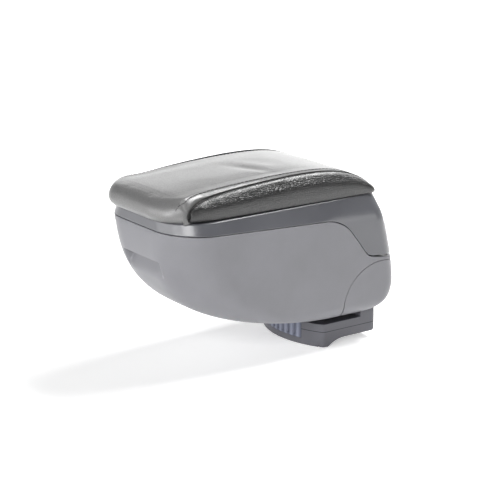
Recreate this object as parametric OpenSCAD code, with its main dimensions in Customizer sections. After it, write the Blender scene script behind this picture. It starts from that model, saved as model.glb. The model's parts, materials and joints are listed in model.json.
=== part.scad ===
/* [Body] */
// Width of the box where the lid closes on it
body_w = 156; // [148:1:166]
// How much narrower the lid is at the foot of the cushion
deck_taper = 14; // [10:1:20]
// How much narrower the box is above its lower edge radius
floor_taper = 13; // [10:1:18]
// Reach of the box in front of the foot's centre
front_reach = 237; // [225:1:250]
// Reach of the box behind the foot's centre
rear_reach = 41.8; // [40:0.1:45]
// Height of the box floor above the mounting face
floor_z = 26.2; // [25:0.1:28]
// Height of the lid's deck above the mounting face
deck_z = 156.8; // [154:0.1:164]
// Height of the lid's band at the front, from the seam up to the deck
band_h = 11; // [9:0.1:14]
// Fall of the lid seam per millimetre towards the rear
seam_fall = 0.048; // [0.04:0.001:0.055]
// Wall of the moulded shells
wall = 3; // [2.5:0.1:3.5]
// Radius of the front corners at the seam, seen from above
front_corner_r = 46; // [40:1:50]
// Radius of the front corners low on the bow, seen from above
bow_corner_r = 60; // [54:1:64]
// Radius of the rear corners, seen from above
rear_corner_r = 18; // [14:1:22]
// Radius of the lower edges of the box
edge_r = 15; // [12:1:18]
// Radius of the heel behind the foot, seen from the side
heel_r = 30; // [27:1:32]
// Where the bow runs out into the flat floor
bow_end_y = -54; // [-64:1:-44]
// Fullness of the bow, 2 being an ellipse
bow_fullness = 2.39; // [2:0.01:2.6]
// Lean of the rear face between heel and deck
rear_lean = 26.7; // [24:0.1:29]

/* [Lid] */
// Gap between the lid and the box
seam_gap = 0.6; // [0.4:0.1:1]
// Height of the rear gap under the lid's cheeks
rear_gap_z = 91; // [90:0.1:92]
// Travel of the cushion along the deck
pad_travel = 50; // [30:1:60]
// Length of each cushion runner
runner_l = 58; // [50:1:66]
// Distance between the two deck slots
runner_pitch = 70; // [60:1:80]

/* [Cushion] */
// How much narrower the cushion is than the box
pad_taper = 13; // [10:1:18]
// Height of the cushion above the deck
pad_h = 32.5; // [28:0.5:36]
// Width of each side panel of the cushion, from its piped seam outward
side_panel_w = 11.5; // [8:0.5:15]
// Overhang of the cushion past the front of the box
pad_overhang = 8; // [6:0.1:9]
// Radius of the cushion's front corners
pad_corner_r = 42; // [40:1:44]
// Width of the piping
piping_w = 2.4; // [2:0.1:3]
// Gap on each side of the piping
piping_gap = 0.3; // [0.3:0.05:0.5]

/* [Hinge] */
// Height of the tilt pivot above the mounting face
pivot_z = 35; // [34.5:0.1:36]
// Distance of the tilt pivot behind the foot's centre
pivot_y = 17.7; // [17:0.1:18.5]
// Radius of the fixed drum that the box turns round
drum_r = 48.4; // [48:0.1:49]
// Gap between the drum and the box
drum_gap = 0.5; // [0.4:0.1:0.7]
// Wall of the drum cover
drum_wall = 2.5; // [2:0.1:3]
// Diameter of the hinge shaft
shaft_d = 8; // [7:0.5:8]
// Radial clearance of every running fit
fit_gap = 0.05; // [0.02:0.01:0.08]
// Thickness of the steel hinge arms
arm_t = 3; // [2.5:0.1:3.5]
// Distance of each hinge arm from the middle
arm_x = 33.7; // [33:0.1:36]
// Diameter of the lid's hinge pin
pin_d = 3; // [2.5:0.1:3.5]

/* [Foot] */
// Width of the foot
foot_w = 110.6; // [106:0.1:116]
// Reach of the foot's toe in front of the bolt pattern's centre
toe_reach = 59.8; // [58:0.1:62]
// Reach of the foot behind the bolt pattern's centre
foot_rear = 27; // [26.5:0.1:28]
// Radius of the toe, seen from above
toe_r = 101; // [95:1:110]
// Depth of the toe's lip below the mounting face
toe_drop = 7.2; // [6:0.1:8]
// Height of the parting line between the foot's two halves
parting_z = 9.5; // [9:0.1:10.5]
// Height of the foot's upper face
foot_top = 18; // [17.5:0.1:19]
// Width of the release button
button_w = 61.4; // [54:0.1:66]
// Travel of the release button
button_travel = 4; // [3:0.1:4.5]
// Number of flutes across the button
flutes = 6; // [4:1:8]
// Spacing of the mounting holes across the foot
bolt_x = 76; // [70:1:84]
// Spacing of the mounting holes along the foot
bolt_y = 30; // [26:1:32]
// Diameter of the mounting holes
bolt_d = 4.2; // [3.5:0.1:5]

/* [Hidden] */

clearance = 0.3;
tiny = 0.01;
deck_w = body_w - deck_taper;
floor_w = body_w - floor_taper;
pad_w = body_w - pad_taper;
pivot = [pivot_y, pivot_z];
bore_r = drum_r + drum_gap;
bulkhead_r = bore_r + wall;

// Points of an arc that rounds corner b between a and c
function unit(v) = v / norm(v);
function heading(v) = atan2(v[1], v[0]);
function turn(a, b) = (b - a + 540) % 360 - 180;
function arc(centre, r, from, to, n) = [for (i = [0:n])
    let (t = from + (to - from) * i / n) centre + r * [cos(t), sin(t)]];
function fillet(a, b, c, r, n = 5) =
    let (u = unit(a - b), w = unit(c - b), half = acos(u * w) / 2)
    let (centre = b + unit(u + w) * r / sin(half), reach = r / tan(half))
    let (from = heading(b + u * reach - centre), to = heading(b + w * reach - centre))
    arc(centre, r, from, from + turn(from, to), n);
function rounded(pts, radii, n = 5) = [for (i = [0:len(pts) - 1])
    let (m = len(pts), r = radii[i])
    each r > 0 ? fillet(pts[(i + m - 1) % m], pts[i], pts[(i + 1) % m], r, n) : [pts[i]]];
function mirrored(half) = concat(half,
    [for (i = [len(half) - 1:-1:0]) if (abs(half[i][0]) > tiny) [-half[i][0], half[i][1]]]);
function sweep_in(v, low, high) = min(max(v, low), high);
function root(v) = sqrt(max(v, 0));

// Outline of the body: half of a ring at height z, its skin set in by t
seam_z = deck_z - band_h;
bow_top = seam_z - 3.6;
side_draft = (body_w - floor_w) / 2 / (seam_z - floor_z);
deck_slope = (body_w - deck_w) / 2 / (deck_z - seam_z + 6.5);
lean_power = 1.5;
heel_z = floor_z + heel_r;
function seam_height(y) = seam_z - seam_fall * (y + front_reach);
function edge_inset(z, r) = let (h = z - floor_z - edge_r + r)
    h >= r ? 0 : r - root(r * r - (r - h) * (r - h));
function side_x(z, y) = let (d = z - seam_height(y))
    body_w / 2 + (d < 0 ? d * side_draft : -d * deck_slope);
function bow_share(z, t) = sweep_in((bow_top - z) / (bow_top - floor_z - t), 0, 1);
function front_y(z, t) = bow_end_y + 0.1 * max(z - bow_top, 0)
    - (bow_end_y + front_reach - t) * pow(max(1 - pow(bow_share(z, t), bow_fullness), 0), 1 / bow_fullness);
function rear_y(z, t) = rear_reach - t - (z > heel_z
    ? rear_lean * pow((z - heel_z) / (deck_z - heel_z), lean_power)
    : (heel_r - t) - root(pow(heel_r - t, 2) - pow(heel_z - z, 2)));
function half_ring(z, t) =
    let (y0 = front_y(z, t), y1 = rear_y(z, t), inset = t + edge_inset(z - t, edge_r - t))
    let (x_mid = side_x(z, (y0 + y1) / 2) - inset)
    let (bow = front_corner_r + (bow_corner_r - front_corner_r) * sqrt(bow_share(z, t)) - t)
    let (rf = min(bow, x_mid - 2, (y1 - y0) / 2), rr = min(rear_corner_r - t, (y1 - y0) / 3))
    concat(
        [for (i = [0:6]) let (a = 90 * i / 6, y = y0 + rf - rf * cos(a))
            [side_x(z, y) - inset - rf + rf * sin(a), y]],
        [for (f = [0.25, 0.5, 0.75]) let (y = y0 + rf + (y1 - rr - y0 - rf) * f)
            [side_x(z, y) - inset, y]],
        [for (i = [0:4]) let (a = 90 * i / 4, y = y1 - rr + rr * sin(a))
            [side_x(z, y) - inset - rr + rr * cos(a), y]]);
function levels(t, top) = concat(
    [for (i = [0:10]) floor_z + t + (bow_top - floor_z - t) * (1 - cos(9 * i))],
    [for (z = [bow_top + 3, bow_top + 7, bow_top + 11]) if (z < top - 1) z], [top]);

// Solid of the body between its floor and a height, its skin set in by t
module body_solid(t, top) {
    heights = levels(t, top);
    for (i = [0:len(heights) - 2])
        hull() {
            for (z = [heights[i], heights[i + 1]])
                translate([0, 0, z - tiny / 2]) linear_extrude(tiny) polygon(mirrored(half_ring(z, t)));
        }
}

// Side view of the lid's lower edge: seam, cheek and rear gap
cheek_top_y = -37;
cheek_foot_y = -1;
cheek_top_r = 46;
cheek_foot_r = 17;
lid_gap_fall = 0.075;
box_gap_fall = 0.171;
box_gap_end = 27;
far = 400;
function lid_edge(shift) =
    let (front = [-front_reach - 20, seam_height(-front_reach - 20) + shift])
    let (top = [cheek_top_y, seam_height(cheek_top_y) + shift])
    let (foot = [cheek_foot_y, rear_gap_z + shift])
    let (fall = shift > 0 ? lid_gap_fall : box_gap_fall, bend = [box_gap_end,
        foot[1] - fall * (box_gap_end - foot[0])])
    let (rear = [rear_reach + 20, shift > 0 ? foot[1] - fall * (rear_reach + 20 - foot[0]) : bend[1]])
    concat([front], fillet(front, top, foot, cheek_top_r, 10), fillet(top, foot, bend, cheek_foot_r, 6),
        [bend, rear]);
module across(w) {
    rotate([90, 0, 90]) translate([0, 0, -w / 2]) linear_extrude(w) children();
}
module lid_zone() {
    across(2 * body_w) polygon(concat(lid_edge(seam_gap / 2), [[rear_reach + 20, far],
        [-front_reach - 20, far]]));
}
module box_zone() {
    across(2 * body_w) polygon(concat(lid_edge(-seam_gap / 2), [[rear_reach + 20, -far],
        [-front_reach - 20, -far]]));
}
module drum(r, w) {
    across(w) translate(pivot) circle(r, $fn = 96);
}

// Tilt hinge
hub_r = 8;
boss_r = 9;
neck_front = pivot_y - 12;
neck_top = floor_z + 6.8;
neck_open = floor_z + 8;
neck_gap = clearance;
arm_slot_w = arm_t + 2 * clearance;
arm_tilt_front = -pivot_y + drum_r;
arm_low = 33.5;
arm_high = 45;
flange_front = pivot_y - bulkhead_r - 34;
flange_rear = pivot_y - bulkhead_r - 4;
flange_w = 14;
flange_z = floor_z + wall + 1.6;
boss_out = arm_x + 14;
shaft_l = 2 * boss_out + 7;
bumper_y = -15;
bumper_l = 10;
function side_of(s) = s * arm_x;
module at_arms() {
    for (s = [-1, 1]) translate([s * arm_x, 0, 0]) children();
}

// Foot
foot_half = foot_w / 2;
toe_y = -toe_reach;
toe_side_y = toe_y + toe_r - root(toe_r * toe_r - foot_half * foot_half);
toe_back = -37.3;
toe_run = 22.6;
toe_power = 2.3;
foot_edge_r = 6;
button_top = foot_top - 0.4;
button_back = -45;
button_low = -0.3;
button_gap = clearance;
pocket_back = button_back + button_travel + 0.5;
guide_x = 20;
guide_z = 4.4;
guide_r = 2.4;
spring_r = 4;
spring_wire = 0.5;
spring_turns = 5;
spring_seat = -28;
tooth_w = 12;
tooth_front = -27;
tooth_t = 4;
function toe_arc_y(x, r) = toe_y + toe_r - root(r * r - x * x);
function foot_plan(inset) =
    let (r = toe_r - inset, w = foot_half - inset, rear = foot_rear - inset)
    concat([for (i = [-9:9]) let (x = (w - 5) * i / 9) [x, toe_arc_y(x, r)]],
        fillet([w - 5, toe_arc_y(w - 5, r)], [w, toe_arc_y(w, r)], [w, rear], 5 - min(inset, 1), 4),
        fillet([w, 0], [w, rear], [0, rear], foot_edge_r, 4),
        fillet([0, rear], [-w, rear], [-w, 0], foot_edge_r, 4),
        fillet([-w, rear], [-w, toe_arc_y(w, r)], [5 - w, toe_arc_y(w - 5, r)], 5 - min(inset, 1), 4));
function foot_side() = concat([[toe_y - 10, -toe_drop], [toe_back, -toe_drop]],
    [for (i = [1:8]) [toe_back + toe_run * i / 8, -toe_drop * pow(1 - i / 8, toe_power)]],
    fillet([0, 0], [foot_rear, 0], [foot_rear, far], foot_edge_r, 5), [[foot_rear, far], [toe_y - 10,
        far]]);

module button_space(low, high, gap, back) {
    w = button_w + 2 * gap;
    translate([-w / 2, toe_y - 5, low]) cube([w, back - toe_y + 5, high - low]);
}
module tooth_space(gap) {
    translate([-tooth_w / 2 - gap, tooth_front - gap, -20])
        cube([tooth_w + 2 * gap, tooth_t + 2 * gap + (gap > 0 ? button_travel : 0), 20 + parting_z]);
}
module foot_base() {
    color("#55565b") difference() {
        intersection() {
            translate([0, 0, -toe_drop]) linear_extrude(parting_z + toe_drop) polygon(foot_plan(0));
            across(2 * foot_w) polygon(foot_side());
        }
        button_space(button_low - button_gap, parting_z + 1, button_gap, pocket_back);
        tooth_space(clearance);
        for (x = [-bolt_x / 2, bolt_x / 2], y = [-bolt_y / 2, bolt_y / 2])
            translate([x, y, -1]) cylinder(r = bolt_d / 2, h = parting_z + 2, $fn = 32);
        for (s = [-1, 1]) {
            translate([s * guide_x, spring_seat + 8, guide_z]) rotate([90, 0, 0])
                cylinder(r = guide_r + fit_gap, h = 20, $fn = 32);
            translate([s * guide_x, spring_seat, guide_z]) rotate([90, 0, 0])
                cylinder(r = spring_r + spring_wire + clearance, h = 20, $fn = 32);
            translate([s * screw_x, screw_y, -1]) cylinder(r = screw_r + 0.3, h = 20, $fn = 24);
            translate([s * screw_x, screw_y, -1]) cylinder(r = screw_head_r + 0.3,
                h = 1 + screw_head_h + 0.2, $fn = 24);
            translate([s * (foot_half - 5), toe_side_y - 1, -toe_drop - 1]) cube([1.6, 5, 6],
                center = true);
        }
    }
}

// Upper half of the foot with the neck and the shaft's bosses
module neck_block() {
    intersection() {
        translate([0, 0, parting_z]) linear_extrude(neck_top - parting_z) polygon(foot_plan(0));
        translate([-foot_w, neck_front, parting_z]) cube([2 * foot_w, far, far]);
    }
}
module foot_housing() {
    color("#63646a") difference() {
        union() {
            translate([0, 0, parting_z]) linear_extrude(foot_top - parting_z) polygon(foot_plan(0));
            neck_block();
            across(2 * boss_out) translate(pivot) circle(boss_r, $fn = 48);
            translate([-boss_out, pivot_y - boss_r, foot_top]) cube([2 * boss_out, 2 * boss_r,
                pivot_z - foot_top]);
        }
        button_space(parting_z - 1, foot_top + 1, button_gap, pocket_back);
        at_arms() translate([-arm_slot_w / 2, neck_front - 5, pivot_z - hub_r - clearance])
            cube([arm_slot_w, 60, far]);
        across(far) translate(pivot) circle(shaft_d / 2 + fit_gap, $fn = 48);
        for (s = [-1, 1]) {
            translate([s * (boss_out + 1.1), 0, 0]) across(2) translate(pivot) circle(shaft_d / 2 + 2.5,
                $fn = 32);
            translate([s * screw_x, screw_y, parting_z - 1]) cylinder(r = screw_r, h = 10, $fn = 24);
        }
        for (x = [-bolt_x / 2, bolt_x / 2], y = [-bolt_y / 2, bolt_y / 2])
            translate([x, y, parting_z - 1]) cylinder(r = bolt_d / 2, h = 5, $fn = 32);
        translate([-tooth_w / 2 - clearance - 4, button_back - clearance, parting_z - 1])
            cube([tooth_w + 8 + 2 * clearance,
                tooth_front + tooth_t - button_back + button_travel + 2 * clearance,
                1 + tooth_t + clearance]);
    }
}

// Screws of the foot
screw_x = 22;
screw_y = 12;
screw_r = 1.6;
screw_head_r = 3.4;
screw_head_h = 2.2;
module pan_screw(l, r, head_r, head_h) {
    difference() {
        union() {
            cylinder(r = r, h = l, $fn = 24);
            translate([0, 0, -head_h]) cylinder(r1 = head_r * 0.8, r2 = head_r, h = head_h, $fn = 24);
        }
        translate([0, 0, -head_h - 1]) cylinder(r = head_r * 0.35, h = 1 + head_h * 0.6, $fn = 6);
    }
}
module foot_screws() {
    color("#2e2f33")
        for (s = [-1, 1])
            translate([s * screw_x, screw_y, screw_head_h + 0.2]) pan_screw(15, screw_r - fit_gap,
                screw_head_r, screw_head_h);
}

// Release button with its flutes, guide pins and return springs
module release_button() {
    flute_pitch = button_w / (flutes + 1);
    color("#696c78") difference() {
        union() {
            intersection() {
                translate([0, 0, button_low]) linear_extrude(button_top - button_low) polygon(foot_plan(0));
                translate([-button_w / 2, toe_y - 5, button_low]) cube([button_w,
                    button_back - toe_y + 5, far]);
            }
            for (s = [-1, 1])
                translate([s * guide_x, spring_seat + 2, guide_z]) rotate([90, 0, 0])
                    cylinder(r = guide_r, h = spring_seat + 3 - button_back, $fn = 32);
        }
        for (i = [-(flutes - 1) / 2:(flutes - 1) / 2]) {
            x = i * flute_pitch;
            translate([x, toe_arc_y(x, toe_r) - flute_pitch * 0.34, button_low + 2])
                cylinder(r = flute_pitch * 0.46, h = 40, $fn = 24);
        }
    }
}
module latch_tooth() {
    bar_z = parting_z + 0.1;
    color("#3a3b40") {
        translate([-tooth_w / 2 - 4, button_back, bar_z])
            cube([tooth_w + 8, tooth_front + tooth_t - button_back, tooth_t - 0.1]);
        translate([-tooth_w / 2, tooth_front, -2]) cube([tooth_w, tooth_t, bar_z + 2]);
    }
}
function coil(r, wire, length, turns, n, k) = [for (i = [0:turns * n], j = [0:k - 1])
    let (a = 360 * i / n, b = 360 * j / k, ring = r + wire * cos(b))
    [ring * cos(a), ring * sin(a), wire + (length - 2 * wire) * i / (turns * n) + wire * sin(b)]];
function tube_faces(rings, k) = concat([[for (j = [0:k - 1]) j]],
    [for (i = [0:rings - 2], j = [0:k - 1]) let (m = i * k, n = (j + 1) % k) [m + j, m + k + j,
        m + k + n, m + n]],
    [[for (j = [k - 1:-1:0]) (rings - 1) * k + j]]);
module button_springs() {
    spring_n = 10;
    spring_k = 5;
    color("#9a9ca0")
        for (s = [-1, 1])
            translate([s * guide_x, spring_seat - 0.2, guide_z]) rotate([90, 0, 0])
                polyhedron(coil(spring_r, spring_wire, spring_seat - button_back - 0.5, spring_turns,
                    spring_n, spring_k),
                    tube_faces(spring_turns * spring_n + 1, spring_k));
}

// Quarter drum over the hinge, fixed to the foot
module knuckle_cover() {
    color("#8f9095") difference() {
        intersection() {
            body_solid(0, pivot_z + drum_r + 4);
            drum(drum_r, 2 * body_w);
        }
        difference() {
            intersection() {
                body_solid(drum_wall, pivot_z + drum_r + 4);
                drum(drum_r - drum_wall, 2 * body_w);
            }
            at_arms() translate([-bumper_w() / 2, bumper_y, floor_z]) cube([bumper_w(), bumper_l,
                drum_wall + 1]);
        }
        translate([-foot_half - neck_gap, neck_front - neck_gap, floor_z - 5])
            cube([foot_w + 2 * neck_gap, foot_rear - neck_front + 2 * neck_gap, neck_open - floor_z + 5]);
        at_arms() intersection() {
            drum(drum_r + 1, arm_slot_w);
            across(arm_slot_w) polygon([pivot + [3, -2], pivot + [-far, -2], pivot + [-far, far],
                pivot + [3, far]]);
        }
    }
}
function bumper_w() = arm_t + 5;
module arm_bumpers() {
    color("#1f1f21") at_arms()
        translate([-bumper_w() / 2 + 0.5, bumper_y + 0.5, floor_z + drum_wall + 1])
            cube([bumper_w() - 1, bumper_l - 1, arm_low - floor_z - drum_wall - 1.1]);
}
module hinge_shaft() {
    color("#b5b7ba") difference() {
        across(shaft_l) translate(pivot) circle(shaft_d / 2, $fn = 48);
        for (s = [-1, 1]) translate([s * (boss_out + 1.1), 0, 0]) across(1) translate(pivot) difference() {
            circle(shaft_d, $fn = 48);
            circle(shaft_d / 2 - 0.8, $fn = 48);
        }
    }
}
module shaft_clips() {
    color("#77797d")
        for (s = [-1, 1]) translate([s * (boss_out + 1.1), 0, 0]) across(0.8)
            translate(pivot) difference() {
            circle(shaft_d / 2 + 2, $fn = 32);
            circle(shaft_d / 2 - 0.75, $fn = 32);
            translate([0, -shaft_d]) square([shaft_d * 0.8, 2 * shaft_d], center = true);
        }
}

// Box with its bow, finger recess, hinge bulkhead and rim
recess_w = 64;
catch_z = seam_z - 6.8;
recess_top = catch_z - 25;
recess_h = 20;
recess_depth = 11;
recess_lean = 9;
seat_z = pivot_z + bulkhead_r - 1.1;
seat_w = deck_w - 38;
function recess_profile() = let (y = front_y(recess_top, 0))
    [[y - 20, recess_top], [y + recess_depth, recess_top - 1.5], [y + recess_depth, recess_top - 6],
        [front_y(recess_top - recess_h, 0) - 0.5, recess_top - recess_h], [y - 20, recess_top - recess_h]];
module recess(grow) {
    across(recess_w + 2 * grow) offset(delta = grow) polygon(recess_profile());
}
module lower_shell() {
    color("#909196") difference() {
        intersection() {
            body_solid(0, seam_z + 4);
            box_zone();
        }
        difference() {
            body_solid(wall, seam_z + 4);
            drum(bulkhead_r, 2 * body_w);
            recess(wall);
            for (s = [-1, 1])
                translate([s * (arm_x + flange_w / 2) - flange_w / 2, flange_front, floor_z])
                    cube([flange_w, flange_rear - flange_front, flange_z - floor_z - 0.1]);
        }
        recess(0);
        drum(bore_r, 2 * body_w);
        translate([-seat_w / 2, neck_front, seat_z]) cube([seat_w, far, 20]);
        at_arms() translate([-arm_slot_w / 2, -bulkhead_r, arm_low - clearance])
            cube([arm_slot_w, bulkhead_r, arm_high - arm_low + 2 * clearance]);
        at_rivets() cylinder(r = rivet_r + 0.1, h = 30, center = true, $fn = 16);
        at_arm_screws() cylinder(r = screw_r + 0.1, h = 30, center = true, $fn = 16);
    }
}
mat_rear = flange_front - 3;
mat_t = 4;
module floor_mat() {
    color("#2a2a2c") intersection() {
        body_solid(wall + 0.1, 60);
        translate([-body_w, mat_rear - far, 0]) cube([2 * body_w, far, floor_z + wall + mat_t]);
    }
}
module hinge_arm(s) {
    plate_low = flange_z;
    profile = rounded([[pivot_y - 3, arm_low], [flange_rear + 3, arm_low], [flange_rear, plate_low],
        [flange_front, plate_low], [flange_front, plate_low + 10], [flange_rear - 8, arm_high],
        [pivot_y - 24, arm_high], [pivot_y, pivot_z + hub_r]], [0, 2, 0, 0, 4, 6, 8, 0], 4);
    color("#8a8c90") difference() {
        union() {
            translate([s * arm_x, 0, 0]) across(arm_t) union() {
                polygon(profile);
                translate(pivot) circle(hub_r, $fn = 48);
            }
            translate([s > 0 ? arm_x - arm_t / 2 : -arm_x + arm_t / 2 - flange_w, flange_front, plate_low])
                cube([flange_w, flange_rear - flange_front, arm_t]);
        }
        across(far) translate(pivot) circle(shaft_d / 2 + fit_gap, $fn = 48);
        at_arm_screws() cylinder(r = screw_r + 0.1, h = 20, center = true, $fn = 24);
    }
}
module hinge_arm_left() {
    hinge_arm(-1);
}
module hinge_arm_right() {
    hinge_arm(1);
}
module at_arm_screws() {
    for (s = [-1, 1], y = [flange_front + 6, flange_rear - 6])
        translate([s * (arm_x + flange_w / 2 + 1), y, floor_z + wall]) children();
}
module arm_screws() {
    color("#2e2f33") at_arm_screws()
        translate([0, 0, arm_t + flange_z - floor_z - wall + 0.05]) mirror([0, 0,
            1]) pan_screw(arm_t + wall - 0.5, screw_r, screw_head_r, screw_head_h);
}

// Lid hinge at the top of the bulkhead
lid_axis_y = rear_y(rear_gap_z, 0) - 4.1;
lid_axis_z = rear_gap_z + 0.5;
lid_axis = [lid_axis_y, lid_axis_z];
barrel_r = 4;
leaf_t = 1.8;
leaf_half = seat_w / 2 - 16;
leaf_low = lid_axis_z + 6;
leaf_high = lid_axis_z + 24;
rivet_r = 1.6;
module at_rivets() {
    for (x = [-1, 0, 1]) translate([x * (seat_w / 2 - 10), pivot_y - 3, seat_z + leaf_t]) children();
}
module barrel(from, to) {
    for (s = [-1, 1]) translate([s * (from + to) / 2, 0, 0]) across(to - from) children();
}
module lid_hinge_base() {
    color("#3c3d41") difference() {
        union() {
            translate([-seat_w / 2 + 0.5, neck_front + 0.5, seat_z]) cube([seat_w - 1,
                lid_axis_y - neck_front - 6, leaf_t]);
            barrel(leaf_half + 1, seat_w / 2 - 1) union() {
                translate(lid_axis) circle(barrel_r, $fn = 32);
                polygon([[lid_axis_y - 6, seat_z], lid_axis + [-3, -2.4], lid_axis + [-2, 3],
                    [lid_axis_y - 9, seat_z + leaf_t]]);
            }
        }
        across(far) translate(lid_axis) circle(pin_d / 2 + fit_gap, $fn = 32);
        at_rivets() cylinder(r = rivet_r + 0.1, h = 20, center = true, $fn = 24);
    }
}
module lid_hinge_pin() {
    color("#b5b7ba") across(seat_w - 1) translate(lid_axis) circle(pin_d / 2, $fn = 32);
}
module hinge_rivets() {
    color("#6f7175") at_rivets() {
        translate([0, 0, -leaf_t - 1.5]) cylinder(r = rivet_r, h = leaf_t + 2, $fn = 24);
        translate([0, 0, 0.05]) cylinder(r1 = rivet_r * 2, r2 = rivet_r * 1.3, h = 1, $fn = 24);
    }
}
module lid_hinge_leaf() {
    face = function (z, t) [rear_y(z, wall) - clearance - t, z];
    color("#3c3d41") difference() {
        union() {
            across(2 * leaf_half) polygon([face(leaf_low, 0), face(leaf_high, 0), face(leaf_high,
                leaf_t), face(leaf_low, leaf_t)]);
            barrel(14, leaf_half) union() {
                translate(lid_axis) circle(barrel_r, $fn = 32);
                polygon([lid_axis + [-0.5, 1], lid_axis + [-0.5, 3.9], face(leaf_low + 2, 0),
                    face(leaf_low + 6, leaf_t),
                    lid_axis + [-3.4, 1]]);
            }
        }
        across(far) translate(lid_axis) circle(pin_d / 2 + fit_gap, $fn = 32);
    }
}

// Striker that the closed lid's magnet rests above
striker_w = 26;
module striker_bracket() {
    y = front_y(catch_z, wall) + 2 * clearance;
    color("#8a8c90") {
        translate([-striker_w / 2, y, catch_z - 8]) cube([striker_w, 1.2, 8]);
        translate([-striker_w / 2, y, catch_z - 1.2]) cube([striker_w, 9, 1.2]);
    }
}
module catch_magnet() {
    y = front_y(catch_z, wall) + clearance + 1.6;
    color("#4a4b50") translate([-8, y, catch_z + 0.3]) cube([16, 7, liner_z - catch_z - 0.4]);
}

// Lid with its band, cheeks, rear wall and slotted deck
liner_z = seam_z + 0.8;
liner_t = 1.8;
slot_w = 8;
runner_front = -135;
slot_front = runner_front - pad_travel - clearance;
slot_rear = runner_front + runner_l + clearance;
post_r = 3.5;
post_x = deck_w / 2 - 15;
post_front = 41 - front_reach;
post_rear = -44;
module at_posts() {
    for (x = [-post_x, post_x], y = [post_front, post_rear]) translate([x, y, 0]) children();
}
module lid_shell() {
    color("#86878b") difference() {
        intersection() {
            body_solid(0, deck_z);
            lid_zone();
        }
        difference() {
            body_solid(wall, deck_z - wall);
            at_posts() translate([0, 0, liner_z + liner_t]) cylinder(r = post_r, h = 20, $fn = 20);
        }
        for (s = [-1, 1])
            translate([s * runner_pitch / 2 - slot_w / 2, slot_front, deck_z - wall - 1])
                cube([slot_w, slot_rear - slot_front, wall + 2]);
        across(seat_w + 2) translate(lid_axis) circle(barrel_r + 0.5, $fn = 48);
        at_posts() translate([0, 0, liner_z]) cylinder(r = 1.1, h = 6, $fn = 16);
    }
}
module lid_liner() {
    color("#3a3a3d") difference() {
        translate([0, 0, liner_z]) linear_extrude(liner_t - 0.1) intersection() {
            polygon(mirrored(half_ring(liner_z + liner_t, wall + 0.3)));
            translate([-body_w, post_rear + 14 - far]) square([2 * body_w, far]);
        }
        at_posts() cylinder(r = 1.5, h = far, $fn = 24);
    }
}
module liner_screws() {
    color("#2e2f33") at_posts() translate([0, 0, liner_z - 0.05]) pan_screw(6, 1.1 - fit_gap, 2.6, 1.6);
}

// Cushion: side view of its crown and plan of its outline
pad_front = -front_reach - pad_overhang;
pad_rear = 13.5;
pad_peak = -90;
pad_base = deck_z + clearance;
pad_lip = 8;
pad_seam_front = pad_front + 27.5;
pad_foot_front = front_y(deck_z, 0) - 0.5;
pad_foot_half = deck_w / 2 - 0.5;
seam_x = pad_w / 2 - side_panel_w;
seam_flare = 6.8;
flare_l = 19.5;
board_t = 4;
board_half = seam_x - 2;
board_z = pad_base;
board_front = pad_foot_front + 6.3;
function crown(y, front) = y < pad_peak
    ? pow(max(1 - pow((pad_peak - y) / (pad_peak - front), 1.2), 0), 0.2315)
    : pow(max(1 - pow((y - pad_peak) / (pad_rear + 0.5 - pad_peak), 3.1), 0), 0.8);
function seam_at(y) = seam_x + seam_flare * pow(max(pad_seam_front + flare_l - y, 0) / flare_l, 1.3);
function pad_top_z(y) = pad_base + 3 + (pad_h - 3) * pow(crown(y, pad_front - 0.5),
    y < pad_peak ? 0.82 : 1);
function pad_seam_z(y) = pad_base + 2 + (pad_h - 4) * crown(y, pad_seam_front - 0.3);
function corner_half(y, w, r, front) = w - r + root(r * r - pow(max(front + r - y, 0), 2));
function pad_half(y) = let (w = pad_w / 2, rr = 9)
    y > pad_rear - rr ? w - rr + root(rr * rr - pow(y - pad_rear + rr, 2)) : corner_half(y, w,
        pad_corner_r, pad_front);
function foot_half(y) = corner_half(y, pad_foot_half, front_corner_r, pad_foot_front);
function tuck_z(y) = pad_base
    + pad_lip * (1 - root(1 - pow(min(max(pad_foot_front - y, 0) / (pad_foot_front - pad_front), 1), 2)));
side_stations = concat([for (d = [1, 2.5, 5, 9, 14, 20, 28, 42, 62, 86, 112]) pad_seam_front + d],
    [for (v = [0.1, 0.35, 0.5, 0.63, 0.75, 0.85, 0.93, 0.98]) pad_peak + (pad_rear - pad_peak) * v],
        [pad_rear]);
centre_stations = concat([for (d = [0.3, 1.5, 4, 8, 13, 19, 24]) pad_front + d], side_stations);
function centre_section(y) =
    let (front = y < pad_seam_front, edge = front ? pad_half(y) : min(pad_half(y),
        seam_at(y) - piping_w / 2 - piping_gap))
    let (base = tuck_z(y), nose = pad_base + pad_lip, foot = max(min(foot_half(y), edge), 0.3 * edge))
    let (low = front ? nose : max(pad_seam_z(y), pad_base + 1), side = min(low, nose))
    mirrored(concat([[foot, base], [foot + 0.75 * (edge - foot), base + 0.3 * (side - base)], [edge, side]],
        [for (f = [1, 0.95, 0.85, 0.65, 0.35, 0]) [edge * f, low + (max(pad_top_z(y),
            low) - low) * sqrt(1 - pow(f, 4))]]));
module slab(y, section) {
    translate([0, y, 0]) rotate([90, 0, 0]) linear_extrude(tiny, center = true) polygon(section);
}
module pad_top() {
    color("#b4b4b4") difference() {
        for (i = [0:len(centre_stations) - 2])
            hull() {
                for (y = [centre_stations[i], centre_stations[i + 1]])
                    slab(y, centre_section(y));
            }
        board_space(clearance);
    }
}
function board_plan(gap) = rounded([[board_half + gap, pad_rear - 14 + gap], [-board_half - gap,
    pad_rear - 14 + gap],
    [-board_half - gap, board_front + 12 - gap], [22 - board_half, board_front - gap],
    [board_half - 22, board_front - gap], [board_half + gap, board_front + 12 - gap]], [4, 4, 8, 8, 8,
        8], 4);
module board_space(gap) {
    translate([0, 0, board_z - 1]) linear_extrude(board_t + gap + 1) polygon(board_plan(gap));
}
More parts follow.
